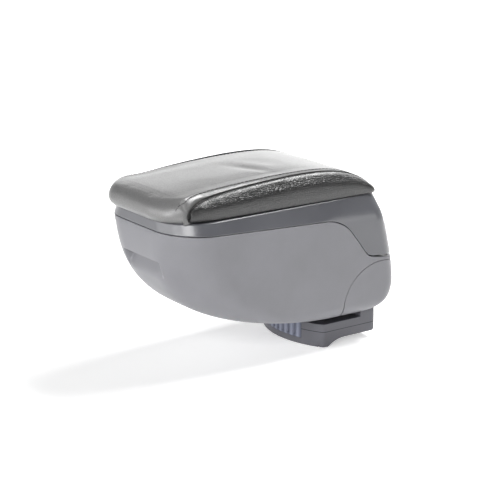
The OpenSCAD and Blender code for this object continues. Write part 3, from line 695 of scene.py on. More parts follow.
@dataclass(frozen=True)
class BodyForm:
    """Outline of the moulded body at every height, the same as the solids' own."""

    body_w: float = 156.0
    deck_w: float = 142.0
    floor_w: float = 143.0
    front_reach: float = 237.0
    rear_reach: float = 41.8
    floor_z: float = 26.2
    deck_z: float = 156.8
    deck_round: float = 6.5
    seam_z: float = 145.8
    seam_fall: float = 0.048
    bow_drop: float = 3.6
    bow_lean: float = 0.1
    front_corner_r: float = 46.0
    bow_corner_r: float = 60.0
    rear_corner_r: float = 18.0
    edge_r: float = 15.0
    heel_r: float = 30.0
    bow_end_y: float = -54.0
    bow_fullness: float = 2.39
    rear_lean: float = 26.7
    lean_power: float = 1.5
    pivot: tuple[float, float] = (17.7, 35.0)
    drum_r: float = 48.4
    crease_soft: float = 0.8
    cheek_soft: float = 8.0
    cheek_y: tuple[float, float] = (-75.0, -35.0)

    @property
    def bow_top(self) -> float:
        """Height where the bow is upright."""
        return self.seam_z - self.bow_drop

    def seam_height(self, y: Points) -> Points:
        """Height of the lid seam at y."""
        return self.seam_z - self.seam_fall * (y + self.front_reach)

    def side_x(self, z: Points, y: Points) -> Points:
        """Half width of the flat side."""
        draft = (self.body_w - self.floor_w) / 2 / (self.seam_z - self.floor_z)
        slope = (self.body_w - self.deck_w) / 2 / (self.deck_z - self.seam_z + self.deck_round)
        rise = z - self.seam_height(y)
        soft = self.crease_soft + self.cheek_soft * smooth_step(y, *self.cheek_y)
        turn = draft * rise - (draft + slope) / (4 * soft) * (rise + soft) ** 2
        flat = np.where(rise < 0, rise * draft, -rise * slope)
        return self.body_w / 2 + np.where(np.abs(rise) < soft, turn, flat)

    def bow_share(self, z: Points, inset: Points) -> Points:
        """Depth below the bow's top as a share of the whole bow."""
        return np.clip((self.bow_top - z) / (self.bow_top - self.floor_z - inset), 0, 1)

    def front_y(self, z: Points, inset: Points) -> Points:
        """Place of the bow at height z, set in from the skin."""
        rest = np.maximum(1 - self.bow_share(z, inset) ** self.bow_fullness, 0) ** (1 / self.bow_fullness)
        lean = self.bow_lean * np.maximum(z - self.bow_top, 0)
        return self.bow_end_y + lean - (self.bow_end_y + self.front_reach - inset) * rest

    def rear_y(self, z: Points, inset: Points) -> Points:
        """Place of the rear face at height z, set in from the skin."""
        heel_z = self.floor_z + self.heel_r
        radius = self.heel_r - inset
        low = radius - np.sqrt(np.maximum(radius ** 2 - np.maximum(heel_z - z, 0) ** 2, 0))
        high = self.rear_lean * (np.maximum(z - heel_z, 0) / (self.deck_z - heel_z)) ** self.lean_power
        return self.rear_reach - inset - np.where(z > heel_z, high, low)

    def edge_inset(self, z: Points, inset: Points) -> Points:
        """How far the rounded lower edge pulls the side in."""
        radius = self.edge_r - inset
        height = z - self.floor_z - inset
        curve = radius - np.sqrt(np.maximum(radius ** 2 - (radius - height) ** 2, 0))
        return np.where(height >= radius, 0, curve)

    def point(self, column: Column, z: Points, inset: Points) -> tuple[Points, Points]:
        """Find a column's skin at given heights.

        Args:
            column: The upright line.
            z: Heights in millimetres.
            inset: Distance inside the skin at each height.

        Returns:
            X and y at each height.
        """
        y0, y1 = self.front_y(z, inset), self.rear_y(z, inset)
        pull = inset + self.edge_inset(z, inset)
        x_mid = self.side_x(z, (y0 + y1) / 2) - pull
        bow_r = (self.front_corner_r + (self.bow_corner_r - self.front_corner_r)
                 * np.sqrt(self.bow_share(z, inset)) - inset)
        front_r = np.minimum(np.minimum(bow_r, x_mid - 2), (y1 - y0) / 2)
        rear_r = np.minimum(self.rear_corner_r - inset, (y1 - y0) / 3)
        if column.zone is Zone.FRONT:
            return column.place * (self.side_x(z, y0) - pull - front_r), y0
        if column.zone is Zone.CORNER:
            turn = math.pi / 2 * column.place
            y = y0 + front_r - front_r * math.cos(turn)
            return self.side_x(z, y) - pull - front_r + front_r * math.sin(turn), y
        if column.zone is Zone.SIDE:
            y = y0 + front_r + (y1 - rear_r - y0 - front_r) * column.place
            return self.side_x(z, y) - pull, y
        if column.zone is Zone.HEEL_CORNER:
            turn = math.pi / 2 * column.place
            y = y1 - rear_r + rear_r * math.sin(turn)
            return self.side_x(z, y) - pull - rear_r + rear_r * math.cos(turn), y
        return (1 - column.place) * (self.side_x(z, y1) - pull - rear_r), y1

    def drum_exit(self, column: Column, inset: float, radius: float) -> float:
        """Find where a column comes out of the hinge drum.

        Args:
            column: The upright line.
            inset: Distance inside the skin.
            radius: Radius of the drum in millimetres.

        Returns:
            Height of the crossing, or the floor's height where the column starts outside.
        """
        z = np.linspace(self.floor_z + inset, self.deck_z, SAMPLES)
        _, y = self.point(column, z, np.full_like(z, inset))
        outside = (y - self.pivot[0]) ** 2 + (z - self.pivot[1]) ** 2 > radius ** 2
        return float(z[int(np.argmax(outside))])

    def meets(self, column: Column, edge: SeamLine, shift: float, inset: float = 0.0) -> float:
        """Find where a column meets the lid's seam.

        Args:
            column: The upright line.
            edge: The seam.
            shift: Which side of the gap, positive for the lid.
            inset: Distance inside the skin.

        Returns:
            Height of the meeting.
        """
        z = np.linspace(self.floor_z + inset, self.deck_z, SAMPLES)
        _, y = self.point(column, z, np.full_like(z, inset))
        rise = z - edge.height(y, shift)
        i = int(np.argmax(rise > 0))
        share = -rise[i - 1] / (rise[i] - rise[i - 1])
        return float(z[i - 1] + share * (z[i] - z[i - 1]))


@dataclass(frozen=True)
class SeamLine:
    """Side view of the gap between the lid and the box: seam, cheek curve and rear gap."""

    form: BodyForm
    gap: float = 0.6
    front_y: float = -257.0
    rear_y: float = 61.8
    cheek_top_y: float = -37.0
    cheek_foot_y: float = -1.0
    cheek_top_r: float = 46.0
    cheek_foot_r: float = 17.0
    rear_gap_z: float = 91.0
    lid_fall: float = 0.075
    box_fall: float = 0.171
    box_flat_y: float = 27.0

    def corners(self, shift: float) -> Points:
        """List the gap's line on one side.

        Args:
            shift: Positive for the lid's edge, negative for the box's.

        Returns:
            Points as (y, z), running rearwards.
        """
        fall = self.lid_fall if shift > 0 else self.box_fall
        front, top = (np.array([y, self.form.seam_height(y) + shift])
                      for y in (self.front_y, self.cheek_top_y))
        foot = np.array([self.cheek_foot_y, self.rear_gap_z + shift])
        bend = np.array([self.box_flat_y, foot[1] - fall * (self.box_flat_y - foot[0])])
        rear = np.array([self.rear_y, foot[1] - fall * (self.rear_y - foot[0]) if shift > 0 else bend[1]])
        return np.vstack([front, self.fillet(front, top, foot, self.cheek_top_r),
                          self.fillet(top, foot, bend, self.cheek_foot_r), bend, rear])

    @staticmethod
    def fillet(a: Points, b: Points, c: Points, radius: float, count: int = 24) -> Points:
        """Round a corner.

        Args:
            a: Point before the corner.
            b: The corner.
            c: Point after the corner.
            radius: Radius of the round.
            count: Number of steps.

        Returns:
            Points along the arc.
        """
        u, w = (a - b) / np.linalg.norm(a - b), (c - b) / np.linalg.norm(c - b)
        half = math.acos(float(np.dot(u, w))) / 2
        middle = b + (u + w) / np.linalg.norm(u + w) * radius / math.sin(half)
        ends = [b + v * radius / math.tan(half) - middle for v in (u, w)]
        start, stop = (math.atan2(float(e[1]), float(e[0])) for e in ends)
        sweep = (stop - start + math.pi) % (2 * math.pi) - math.pi
        turns = start + sweep * np.arange(count + 1) / count
        return middle + radius * np.column_stack([np.cos(turns), np.sin(turns)])

    def height(self, y: Points, shift: float) -> Points:
        """Height of one side of the gap at y.

        Args:
            y: Places along the body.
            shift: Positive for the lid's edge, negative for the box's.

        Returns:
            Heights.
        """
        line = self.corners(shift)
        return np.interp(y, line[:, 0], line[:, 1])


# Shares of the way over the flat front and rear at which their columns stand
STRIP = np.linspace(0, 1, 9)


def body_columns() -> list[Column]:
    """List the upright lines, close together at the corners, the recess and the cheek."""
    corner = [0, 3, 5, 7, 8, 8.7, 9.4, 10, 10.6, 11.2, 11.8, 12.5, 13.5, 15] + list(range(18, 90, 3))
    side = np.concatenate([np.linspace(0, 0.55, 26), np.linspace(0.56, 1, 66)])
    return ([Column(Zone.FRONT, float(f)) for f in STRIP] + [Column(Zone.CORNER, a / 90) for a in corner[1:]]
            + [Column(Zone.SIDE, float(f)) for f in side]
            + [Column(Zone.HEEL_CORNER, i / 14) for i in range(1, 15)]
            + [Column(Zone.REAR, float(f)) for f in STRIP[1:]])


def shell_piece(name: str, columns: list[Column], half: Points) -> Piece:
    """Close the right half of a shell over to the left and join both.

    Args:
        name: Name of the piece.
        columns: The upright lines, from the front's middle to the rear's.
        half: Points of the right half: column, row and coordinate, in millimetres.

    Returns:
        The closed shell.
    """
    loops = []
    for column, line in zip(columns, half):
        share = np.minimum(STRIP / max(column.share, 1e-9), 1)
        inner = np.concatenate([share[::-1], -share[1:]])[1:-1]
        strips = [np.column_stack([inner * line[row, 0], np.full_like(inner, line[row, 1]),
                                   np.full_like(inner, line[row, 2])]) for row in (-1, 0)]
        left = line[::-1] * np.array([-1, 1, 1])
        loops.append(np.vstack([line, strips[0], left, strips[1][::-1]]))
    return mesh_piece(name, np.vstack(loops), ring_faces(len(loops), len(loops[0])))


def lipped_rows(low: float, top: float, lip_r: float, steps: Points) -> tuple[Points, Points]:
    """Space a column's rows up to a rounded lip.

    Args:
        low: Height of the first row.
        top: Height of the lip's end.
        lip_r: Radius of the lip, less where the column is short.
        steps: Places of the plain rows, as shares of the way to the lip.

    Returns:
        Heights of all rows, and how far the lip draws each of them in.
    """
    lip = min(lip_r, (top - low) / 3)
    turn = np.radians([22, 45, 67, 90])
    heights = np.concatenate([low + (top - lip - low) * steps, top - lip * (1 - np.sin(turn))])
    return heights, np.concatenate([np.zeros_like(steps), lip * (1 - np.cos(turn))])


def line_points(form: BodyForm, column: Column, z: Points, inset: Points) -> Points:
    """Place a column's rows in space.

    Args:
        form: Form of the body.
        column: The upright line.
        z: Heights.
        inset: Distance inside the skin at each height.

    Returns:
        One row of x, y, z for each height.
    """
    x, y = form.point(column, z, inset)
    return np.column_stack([x, y, z])


# Pieces

class Side(Enum):
    """Side of the armrest, with the sign of its x."""

    RIGHT = 1
    LEFT = -1

    @property
    def word(self) -> str:
        """Word for the side in the names of pieces."""
        return self.name.lower()


@dataclass
class Box:
    """Lower shell of the box with its bow, finger recess, bulkhead and rim."""

    form: BodyForm
    seam: SeamLine
    wall: float = 3.0
    lip_r: float = 0.8
    bore_gap: float = 0.5
    outer_rows: int = 58
    inner_rows: int = 34
    recess_rows: tuple[float, float, int] = (0.722, 0.742, 12)
    recess_w: float = 64.0
    recess_top: float = 113.7
    recess_low: float = 94.5
    recess_depth: float = 9.5
    recess_side: tuple[float, float] = (-2.2, 1.4)
    recess_lip: float = 0.7
    recess_run: float = 2.0
    recess_power: float = 0.8
    recess_grow: float = 1.5
    front_half_y: float = -150.0
    arm_x: float = 33.7
    arm_slot_w: float = 3.6
    arm_slot_y: tuple[float, float] = (-52.0, -20.0)
    arm_slot_z: tuple[float, float] = (33.2, 45.3)

    def recess_push(self, points: Points, grow: float) -> Points:
        """Push the front wall in at the finger recess.

        Args:
            points: Points of the shell, pushed in place.
            grow: How far the pocket is larger on this side of the wall.

        Returns:
            The same points.
        """
        x, y, z = points.T
        start, end = (self.recess_w / 2 + side + grow for side in self.recess_side)
        across = 1 - smooth_step(np.abs(x), start, end)
        crisp = 1 - smooth_step(z, self.recess_top - self.recess_lip + grow, self.recess_top + grow)
        run_out = smooth_step(z, self.recess_low - grow, self.recess_top - self.recess_run)
        push = self.recess_depth * across * crisp * run_out ** self.recess_power
        points[:, 1] += np.where(y < self.front_half_y, push, 0)
        return points

    def rows(self, column: Column) -> Points:
        """Lay out one column from the bore over the rim to the bulkhead.

        Args:
            column: The upright line.

        Returns:
            Points of the column.
        """
        form = self.form
        low = form.drum_exit(column, 0.0, form.drum_r + self.bore_gap)
        top = max(form.meets(column, self.seam, -self.seam.gap / 2), low)
        # Rows crowd towards the bore, and once more at the upper edge of the recess
        crowded = 1 - np.cos(np.linspace(0, math.pi / 2, self.outer_rows))
        steps = np.unique(np.concatenate([crowded, np.linspace(*self.recess_rows)]))
        outer = self.recess_push(line_points(form, column, *lipped_rows(low, top, self.lip_r, steps)), 0.0)
        inner_low = min(form.drum_exit(column, self.wall, form.drum_r + self.bore_gap + self.wall), top)
        inner_z = top - (top - inner_low) * np.linspace(0, 1, self.inner_rows) ** 0.8
        inner = self.recess_push(line_points(form, column, inner_z, np.full_like(inner_z, self.wall)),
                                 self.recess_grow)
        return np.vstack([outer, inner])

    def build(self, palette: Palette) -> Piece:
        """Build and dress the shell.

        Args:
            palette: Finishes.

        Returns:
            The shell.
        """
        columns = body_columns()
        shell = shell_piece("box_shell", columns, np.array([self.rows(c) for c in columns]))
        cut(shell, cutting_pair(self.arm_x, self.arm_slot_w, self.arm_slot_y, self.arm_slot_z))
        dress(shell, palette.shell_plastic)
        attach(shell, "box")
        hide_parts("lower_shell")
        return shell


@dataclass
class Lid:
    """Lid shell with its band, cheeks, rear wall and slotted deck."""

    form: BodyForm
    seam: SeamLine
    wall: float = 3.0
    lip_r: float = 0.8
    deck_lip_r: float = 1.3
    outer_rows: int = 46
    inner_rows: int = 22
    slot_x: float = 35.0
    slot_w: float = 8.0
    slot_y: tuple[float, float] = (-185.3, -76.7)
    slot_z: tuple[float, float] = (150.0, 160.0)
    hinge: tuple[float, float] = (32.27, 91.5)
    hinge_half: float = 53.0
    barrel_r: float = 4.5

    def rows(self, column: Column) -> Points:
        """Lay out one column from the deck's underside round the rim to the deck.

        Args:
            column: The upright line.

        Returns:
            Points of the column.
        """
        form = self.form
        low = form.meets(column, self.seam, self.seam.gap / 2)
        inner_z = low + (form.deck_z - self.wall - low) * np.linspace(1, 0, self.inner_rows)
        inner = line_points(form, column, inner_z, np.full_like(inner_z, self.wall))
        turn = np.radians([90, 67, 45, 22, 0])
        over = np.radians([20, 40, 60, 78, 90])
        wall = np.linspace(low + self.lip_r, form.deck_z - self.deck_lip_r, self.outer_rows)[1:]
        z = np.concatenate([low + self.lip_r * (1 - np.sin(turn)), wall,
                            form.deck_z - self.deck_lip_r * (1 - np.sin(over))])
        inset = np.concatenate([self.lip_r * (1 - np.cos(turn)), np.zeros_like(wall),
                                self.deck_lip_r * (1 - np.cos(over))])
        return np.vstack([inner, line_points(form, column, z, inset)])

    def build(self, palette: Palette) -> Piece:
        """Build and dress the shell.

        Args:
            palette: Finishes.

        Returns:
            The shell.
        """
        columns = body_columns()
        shell = shell_piece("lid_shell_dressed", columns, np.array([self.rows(c) for c in columns]))
        slots = cutting_pair(self.slot_x, self.slot_w, self.slot_y, self.slot_z)
        barrel = cutting_bar(disc_outline(self.hinge, self.barrel_r), -self.hinge_half, self.hinge_half)
        cut(shell, slots + [barrel])
        dress(shell, palette.lid_plastic)
        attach(shell, "lid")
        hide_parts("lid_shell")
        return shell


@dataclass
class Drum:
    """Fixed drum behind the box that hides the tilt hinge."""

    form: BodyForm
    wall: float = 2.5
    lip_r: float = 0.6
    outer_rows: int = 44
    inner_rows: int = 20
    arm_x: float = 33.7
    arm_slot_w: float = 3.6
    arm_slot_rear: float = 3.0
    arm_slot_front_y: float = -60.0
    arm_slot_z: tuple[float, float] = (33.0, 120.0)
    neck: tuple[float, float, float] = (55.6, 5.4, 27.3)
    neck_z: tuple[float, float] = (10.0, 34.2)
    floor_snap: float = 1.2

    def rows(self, column: Column, inset: float, radius: float, count: int) -> Points:
        """Lay out one column from the floor to the drum's edge.

        Args:
            column: The upright line.
            inset: Distance inside the skin.
            radius: Radius of the drum in millimetres.
            count: Number of rows.

        Returns:
            Points of the column.
        """
        form = self.form
        low = form.floor_z + inset
        top = form.drum_exit(column, inset, radius)
        z, drawn = lipped_rows(low, top, self.lip_r, 1 - np.cos(np.linspace(0, math.pi / 2, count)))
        points = line_points(form, column, z, inset + drawn)
        floor_y = form.pivot[0] - math.sqrt(radius ** 2 - (low - form.pivot[1]) ** 2)
        points[:, 1] = np.where(points[:, 1] < floor_y - self.floor_snap, floor_y, points[:, 1])
        return points

    def build(self, palette: Palette) -> Piece:
        """Build and dress the drum.

        Args:
            palette: Finishes.

        Returns:
            The drum.
        """
        form, columns = self.form, body_columns()
        outer = np.array([self.rows(c, 0.0, form.drum_r, self.outer_rows) for c in columns])
        inner_r = form.drum_r - self.wall
        inner = np.array([self.rows(c, self.wall, inner_r, self.inner_rows) for c in columns])
        shell = shell_piece("hinge_drum", columns, outer)
        hollow = shell_piece("cutter", columns, inner)
        x, front, rear = self.neck
        low, high = self.neck_z
        slot_y = (form.pivot[0] + self.arm_slot_rear, self.arm_slot_front_y)
        slots = cutting_pair(self.arm_x, self.arm_slot_w, slot_y, self.arm_slot_z)
        cut(shell, [hollow, cutting_block((-x, front, low), (x, rear, high))] + slots)
        dress(shell, palette.shell_plastic)
        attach(shell, "foot")
        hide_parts("knuckle_cover")
        return shell


@dataclass(frozen=True)
class FoamSwell:
    """Cloth simulation of a sewn cover that swells over its foam, held at its seams."""

    voxel_mm: float = 5.0
    pressure: float = 4.0
    frames: int = 20
    cap_mm: float = 2.0
    full_percent: float = 90.0
    neighbours: int = 10
    blur_mm: float = 1.5

    def simulate(self, piece: Piece, held: Callable[[Points], Points]) -> tuple[Points, Points]:
        """Run the cloth on an evenly meshed copy.

        Args:
            piece: The closed piece.
            held: Gives for points in millimetres how firmly each is sewn down, from 0 to 1.

        Returns:
            The copy's points at rest and how far each moved, in millimetres.
        """
        scene = bpy.context.scene
        copy = piece.copy()
        copy.data = piece.data.copy()
        scene.collection.objects.link(copy)
        even = copy.modifiers.new("even", "REMESH")
        even.mode, even.voxel_size = "VOXEL", self.voxel_mm * MM
        graph = bpy.context.evaluated_depsgraph_get()
        copy.data = bpy.data.meshes.new_from_object(copy.evaluated_get(graph))
        copy.modifiers.clear()
        rest = np.empty(len(copy.data.vertices) * 3)
        copy.data.vertices.foreach_get("co", rest)
        rest = rest.reshape(-1, 3) / MM
        sewn = copy.vertex_groups.new(name="sewn")
        for i, weight in enumerate(held(rest)):
            sewn.add([i], float(weight), "REPLACE")
        cloth = copy.modifiers.new("cloth", "CLOTH")
        cloth.settings.vertex_group_mass = "sewn"
        cloth.settings.use_pressure = True
        cloth.settings.uniform_pressure_force = self.pressure
        cloth.settings.effector_weights.gravity = 0
        for frame_number in range(1, self.frames + 1):
            scene.frame_set(frame_number)
        graph = bpy.context.evaluated_depsgraph_get()
        moved = np.empty(len(rest) * 3)
        copy.evaluated_get(graph).data.vertices.foreach_get("co", moved)
        scene.frame_set(1)
        bpy.data.objects.remove(copy)
        return rest, moved.reshape(-1, 3) / MM - rest

    def apply(self, piece: Piece, held: Callable[[Points], Points]) -> None:
        """Swell a piece by the simulated movement, capped and faded out at its seams.

        Args:
            piece: The closed piece.
            held: Gives for points in millimetres how firmly each is sewn down, from 0 to 1.
        """
        rest, move = self.simulate(piece, held)
        size = np.linalg.norm(move, axis=1)
        full = max(float(np.percentile(size, self.full_percent)), 1e-6)
        move *= (self.cap_mm * np.minimum(size / full, 1) / np.maximum(size, 1e-9))[:, None]
        tree = KDTree(len(rest))
        for i, spot in enumerate(rest):
            tree.insert(spot, i)
        tree.balance()
        points = np.empty(len(piece.data.vertices) * 3)
        piece.data.vertices.foreach_get("co", points)
        points = points.reshape(-1, 3) / MM
        free = 1 - held(points)
        for i in np.nonzero(free > 0.001)[0]:
            found = tree.find_n(points[i], self.neighbours)
            near = np.array([1 / (away + self.blur_mm) ** 2 for _, _, away in found])
            moves = move[[index for _, index, _ in found]]
            points[i] += free[i] * (near[:, None] * moves).sum(axis=0) / near.sum()
        piece.data.vertices.foreach_set("co", (points * MM).ravel())
        piece.data.update()
        LOG.info("%s: swelled over its foam by up to %.1f mm", piece.name, self.cap_mm)


@dataclass
class Cushion:
    """Leatherette cushion: centre panel over the front roll, two side panels, welts and stitching."""

    deck_z: float = 156.8
    front: float = -245.0
    rear: float = 13.5
    half_w: float = 71.5
    corner_r: float = 42.0
    rear_r: float = 9.0
    peak_y: float = -90.0
    top_z: float = 189.0
    top_foot: float = 3.0
    top_fall: float = 9.6
    top_power: float = 1.7
    side_fall: float = 0.6
    crease_at: tuple[float, float] = (18.0, -112.0)
    crease_turn: tuple[float, float] = (0.91, 0.41)
    rear_power: float = 3.1
    rear_round: float = 0.8
    nose_z: float = 165.4
    roll_r: float = 14.0
    roll_power: float = 2.1
    tuck: float = 9.0
    seam_foot: float = 2.0
    seam_rise: float = 28.4
    seam_power: float = 1.2
    seam_round: float = 0.2315
    seam_x: float = 60.0
    seam_tip_y: float = -218.8
    seam_flare: float = 7.2
    flare_power: float = 1.3
    flare_y: float = -198.0
    seam_pull: tuple[float, float] = (8.0, 2.0)
    side_top: float = 0.2
    side_lip: float = 8.2
    side_full: float = 0.92
    side_wave: float = 0.4
    side_dent: float = 0.3
    side_tuck: tuple[float, float] = (2.6, 5.2)
    welt_w: float = 2.4
    welt_flat: float = 1.1
    welt_sunk: tuple[float, float] = (1.5, 0.6)
    welt_run: float = 7.4
    welt_aim: tuple[float, float] = (-0.92, 0.39)
    welt_foot: float = 1.3
    gap: float = 0.3
    stitch_inset: float = 7.0
    stitch_pitch: float = 4.6
    stitch_half: float = 1.7
    stitch_r: float = 0.42
    stitch_flat: float = 0.8
    stitch_slant: float = 0.15
    stitch_sink: float = 0.2
    stitch_front_y: float = -231.5
    stitch_front_gap: float = 0.6
    swell: float = 1.1
    side_swell: float = 0.9

    @property
    def base(self) -> float:
        """Height of the cushion's underside."""
        return self.deck_z + self.gap

    @property
    def turn_x(self) -> float:
        """Half width of the straight front, where the corner starts."""
        return self.half_w - self.corner_r

    @property
    def turn_y(self) -> float:
        """Place where the corner ends and the straight side starts."""
        return self.front + self.corner_r

    def outline_front(self, x: Points) -> Points:
        """Plan view of the front edge at x."""
        over = np.maximum(np.abs(x) - self.turn_x, 0)
        return self.turn_y - np.sqrt(np.maximum(self.corner_r ** 2 - over ** 2, 0))

    def side_half(self, y: Points) -> Points:
        """Half width of the cushion at y."""
        ahead = np.maximum(self.turn_y - y, 0)
        behind = np.maximum(y - self.rear + self.rear_r, 0)
        return (self.turn_x + np.sqrt(np.maximum(self.corner_r ** 2 - ahead ** 2, 0))
                - self.rear_r + np.sqrt(np.maximum(self.rear_r ** 2 - behind ** 2, 0)))

    def seam_at(self, y: Points) -> Points:
        """Distance of the side seam from the middle at y; it flares out round the front corner."""
        share = np.clip((self.flare_y - y) / (self.flare_y - self.seam_tip_y), 0, 1)
        return self.seam_x + self.seam_flare * share ** self.flare_power

    def rear_fall(self, y: Points) -> Points:
        """Fall of the cushion behind its peak, as a share of its height."""
        behind = np.clip((y - self.peak_y) / (self.rear + 0.5 - self.peak_y), 0, 1)
        return (1 - behind ** self.rear_power) ** self.rear_round

    def seam_z(self, y: Points) -> Points:
        """Height of the side seam at y."""
        ahead = np.clip((self.peak_y - y) / (self.peak_y - self.seam_tip_y + 0.25), 0, 1)
        front_fall = (1 - ahead ** self.seam_power) ** self.seam_round
        share = np.where(y < self.peak_y, front_fall, self.rear_fall(y))
        return self.base + self.seam_foot + self.seam_rise * share

    def crown_z(self, y: Points) -> Points:
        """Height of the middle of the cushion at y, without the front roll."""
        ahead = np.clip((self.peak_y - y) / (self.peak_y - self.front), 0, 1)
        low = self.base + self.top_foot
        return np.where(y < self.peak_y, self.top_z - self.top_fall * ahead ** self.top_power,
                        low + (self.top_z - low) * self.rear_fall(y))

    def edge_at(self, y: Points) -> Points:
        """Half width of the centre panel at y."""
        return self.seam_at(y) - self.welt_w / 2 - self.gap

    def surface(self, x: Points, y: Points) -> Points:
        """Height of the centre panel.

        Args:
            x: Places across.
            y: Places along.

        Returns:
            Heights in millimetres.
        """
        beyond = np.hypot(np.maximum(np.abs(x) - self.turn_x, 0), np.maximum(self.turn_y - y, 0))
        shallow = 1 - np.clip((self.corner_r - beyond) / self.roll_r, 0, 1)
        rise = np.where(y < self.turn_y + 4, np.sqrt(1 - shallow ** self.roll_power), 1)
        high = self.nose_z + (self.crown_z(y) - self.nose_z) * rise
        high = np.where(y > self.peak_y, self.crown_z(y), high)
        high = high - self.side_fall * (np.abs(x) / self.seam_x) ** 2
        reach = np.hypot(np.maximum(self.edge_at(y) - np.abs(x), 0), np.maximum(self.seam_tip_y - y, 0))
        width = self.seam_pull[0] + self.seam_pull[1] * smooth_step(y, -180, -212)
        near = np.clip(1 - reach / width, 0, 1)
        # Along the side the cover is drawn into the seam; round the corner it rolls over to it
        pull = near ** 2 + (1 - np.sqrt(1 - near ** 2) - near ** 2) * smooth_step(y, -188, -206)
        seam = np.where(y > self.seam_tip_y, self.seam_z(y) - self.gap, self.nose_z)
        return high + (np.minimum(seam, high) - high) * pull

    def relief(self, x: Points, y: Points) -> Points:
        """Small unevenness of the cover over its foam.

        Args:
            x: Places across.
            y: Places along.

        Returns:
            Heights to add in millimetres.
        """
        # Two slow waves, where the foam gives unevenly
        soft = (0.30 * np.sin(x / 23 + 0.6) * np.sin(y / 33 + 1.1)
                + 0.14 * np.sin(x / 11 + y / 31) * np.sin(y / 17 - 0.4))
        # One slanting crease with a low swell behind it, where elbows have leaned
        dx, dy = x - self.crease_at[0], y - self.crease_at[1]
        cos, sin = self.crease_turn
        along, over = dx * cos + dy * sin, -dx * sin + dy * cos
        crease = (-0.9 * np.exp(-(over / 7) ** 2 - (along / 26) ** 2)
                  + 0.5 * np.exp(-((over - 16) / 9) ** 2 - (along / 30) ** 2))
        # Along the stitches the cover is drawn down, a little more once in each of them
        near = 1 - smooth_step(self.edge_at(y) - np.abs(x), 6, 14)
        line = np.exp(-((self.seam_at(y) - np.abs(x) - self.stitch_inset) / 0.75) ** 2)
        return (soft + crease) * (1 - near) - 0.5 * line * (0.6 + 0.4 * self.pucker(y))

    def pucker(self, y: Points) -> Points:
        """Rise and fall of the cover from stitch to stitch, from 0 to 1."""
        return 0.5 + 0.5 * np.cos(2 * math.pi * y / self.stitch_pitch)

    def front_normal(self, x: Points) -> tuple[Points, Points]:
        """Outward direction of the front edge at x, seen from above."""
        over = np.clip((np.abs(x) - self.turn_x) / self.corner_r, 0, 1)
        return np.sign(x) * over, -np.sqrt(1 - over ** 2)

    def centre_panel(self) -> Piece:
        """Build the centre panel with its front roll."""
        # Columns crowd a little towards both seams
        s = np.linspace(-1, 1, 141)
        s = 0.72 * s + 0.28 * np.sin(s * math.pi / 2)
        x = s * float(self.edge_at(np.array(self.seam_tip_y)))
        front = self.outline_front(x)
        nx, ny = self.front_normal(x)
        rows = []
        for angle in np.radians([90, 78, 66, 54, 42, 30, 20, 10, 0]):
            back = self.tuck * (1 - math.cos(angle))
            z = self.nose_z - (self.nose_z - self.base) * math.sin(angle)
            rows.append(np.column_stack([x - nx * back, front - ny * back, np.full_like(x, z)]))
        # Rows crowd over the roll at the front and over the fall at the rear
        quarter = np.linspace(0, math.pi / 2, 26)
        roll_share = 14 / 258
        share = np.concatenate([(1 - np.cos(quarter)) * roll_share, np.linspace(roll_share, 0.90, 190)[1:],
                                1 - 0.10 * (1 - np.sin(quarter))[1:]])
        for f in share[1:]:
            y = front + f * (self.rear - front)
            across = s * self.edge_at(y)
            fade = smooth_step(y - front, 5, 22) * (1 - smooth_step(y, self.rear - 16, self.rear - 3))
            z = self.surface(across, y) + self.relief(across, y) * fade
            rows.append(np.column_stack([across, y, np.maximum(z, self.base + 0.3)]))
        last = rows[-1].copy()
        last[:, 2] = self.base
        top = np.array(rows + [last])
        count, wide = top.shape[:2]
        points = top.reshape(-1, 3)
        rim = (list(range(wide)) + [r * wide + wide - 1 for r in range(1, count)]
               + [(count - 1) * wide + i for i in range(wide - 2, -1, -1)]
               + [r * wide for r in range(count - 2, 0, -1)])
        below = points[rim].copy()
        below[:, 2] = self.base
        start = len(points)
        points = np.vstack([points, below])
        faces = grid_faces(count, wide)
        faces += [(rim[i], rim[(i + 1) % len(rim)], start + (i + 1) % len(rim), start + i)
                  for i in range(len(rim))]
        faces.append(tuple(range(start + len(rim) - 1, start - 1, -1)))
        return mesh_piece("cushion_top", points, faces, SEWN_CREASE_DEG)

    def seam_stations(self, start: float, end: float, count: int = 150) -> Points:
        """Space places along a seam, closer together at its steep ends.

        Args:
            start: First y.
            end: Last y.
            count: Number of places.

        Returns:
            Values of y.
        """
        f = np.linspace(0, 1, count)
        return start + (end - start) * (0.45 * f + 0.55 * (f - np.sin(2 * math.pi * f) / (2 * math.pi)))

    def side_panel(self, side: Side) -> Piece:
        """Build one side panel.

        Args:
            side: The panel's side.

        Returns:
            The panel.
        """
        ys = self.seam_stations(self.seam_tip_y + 0.9, self.rear)
        turns = np.radians(np.linspace(90, 0, 19))
        lows = np.radians(np.linspace(0, 90, 9))[1:]
        inner = self.seam_at(ys) + self.welt_w / 2 + self.gap
        half = self.side_half(ys)
        top = self.seam_z(ys) - self.side_top
        # The lip over the deck stays below the seam at both of its ends
        lip = np.minimum(self.side_lip, np.where(ys < -60, top - 0.8 - self.base, 0.4 * (top - self.base)))
        ahead = np.clip(self.turn_y - ys, 0, self.corner_r) / self.corner_r
        tuck = self.side_tuck[0] + self.side_tuck[1] * smooth_step(ys, -188, -217)
        bulge = np.sin(2 * turns)
        dent = np.exp(-((turns - math.pi / 2) / 0.2) ** 2)
        loops = []
        for i, y in enumerate(ys):
            w, z0 = half[i] - inner[i], self.base + lip[i]
            # The cover bulges a little unevenly and is drawn down between stitches
            wave = self.side_wave * math.sin(y / 19) * math.sin(y / 43 + 0.8)
            xs = inner[i] + w * np.cos(turns) ** self.side_full + 0.25 * wave * bulge
            zs = (z0 + (top[i] - z0) * np.sin(turns) + 0.4 * wave * bulge
                  - self.side_dent * dent * self.pucker(y))
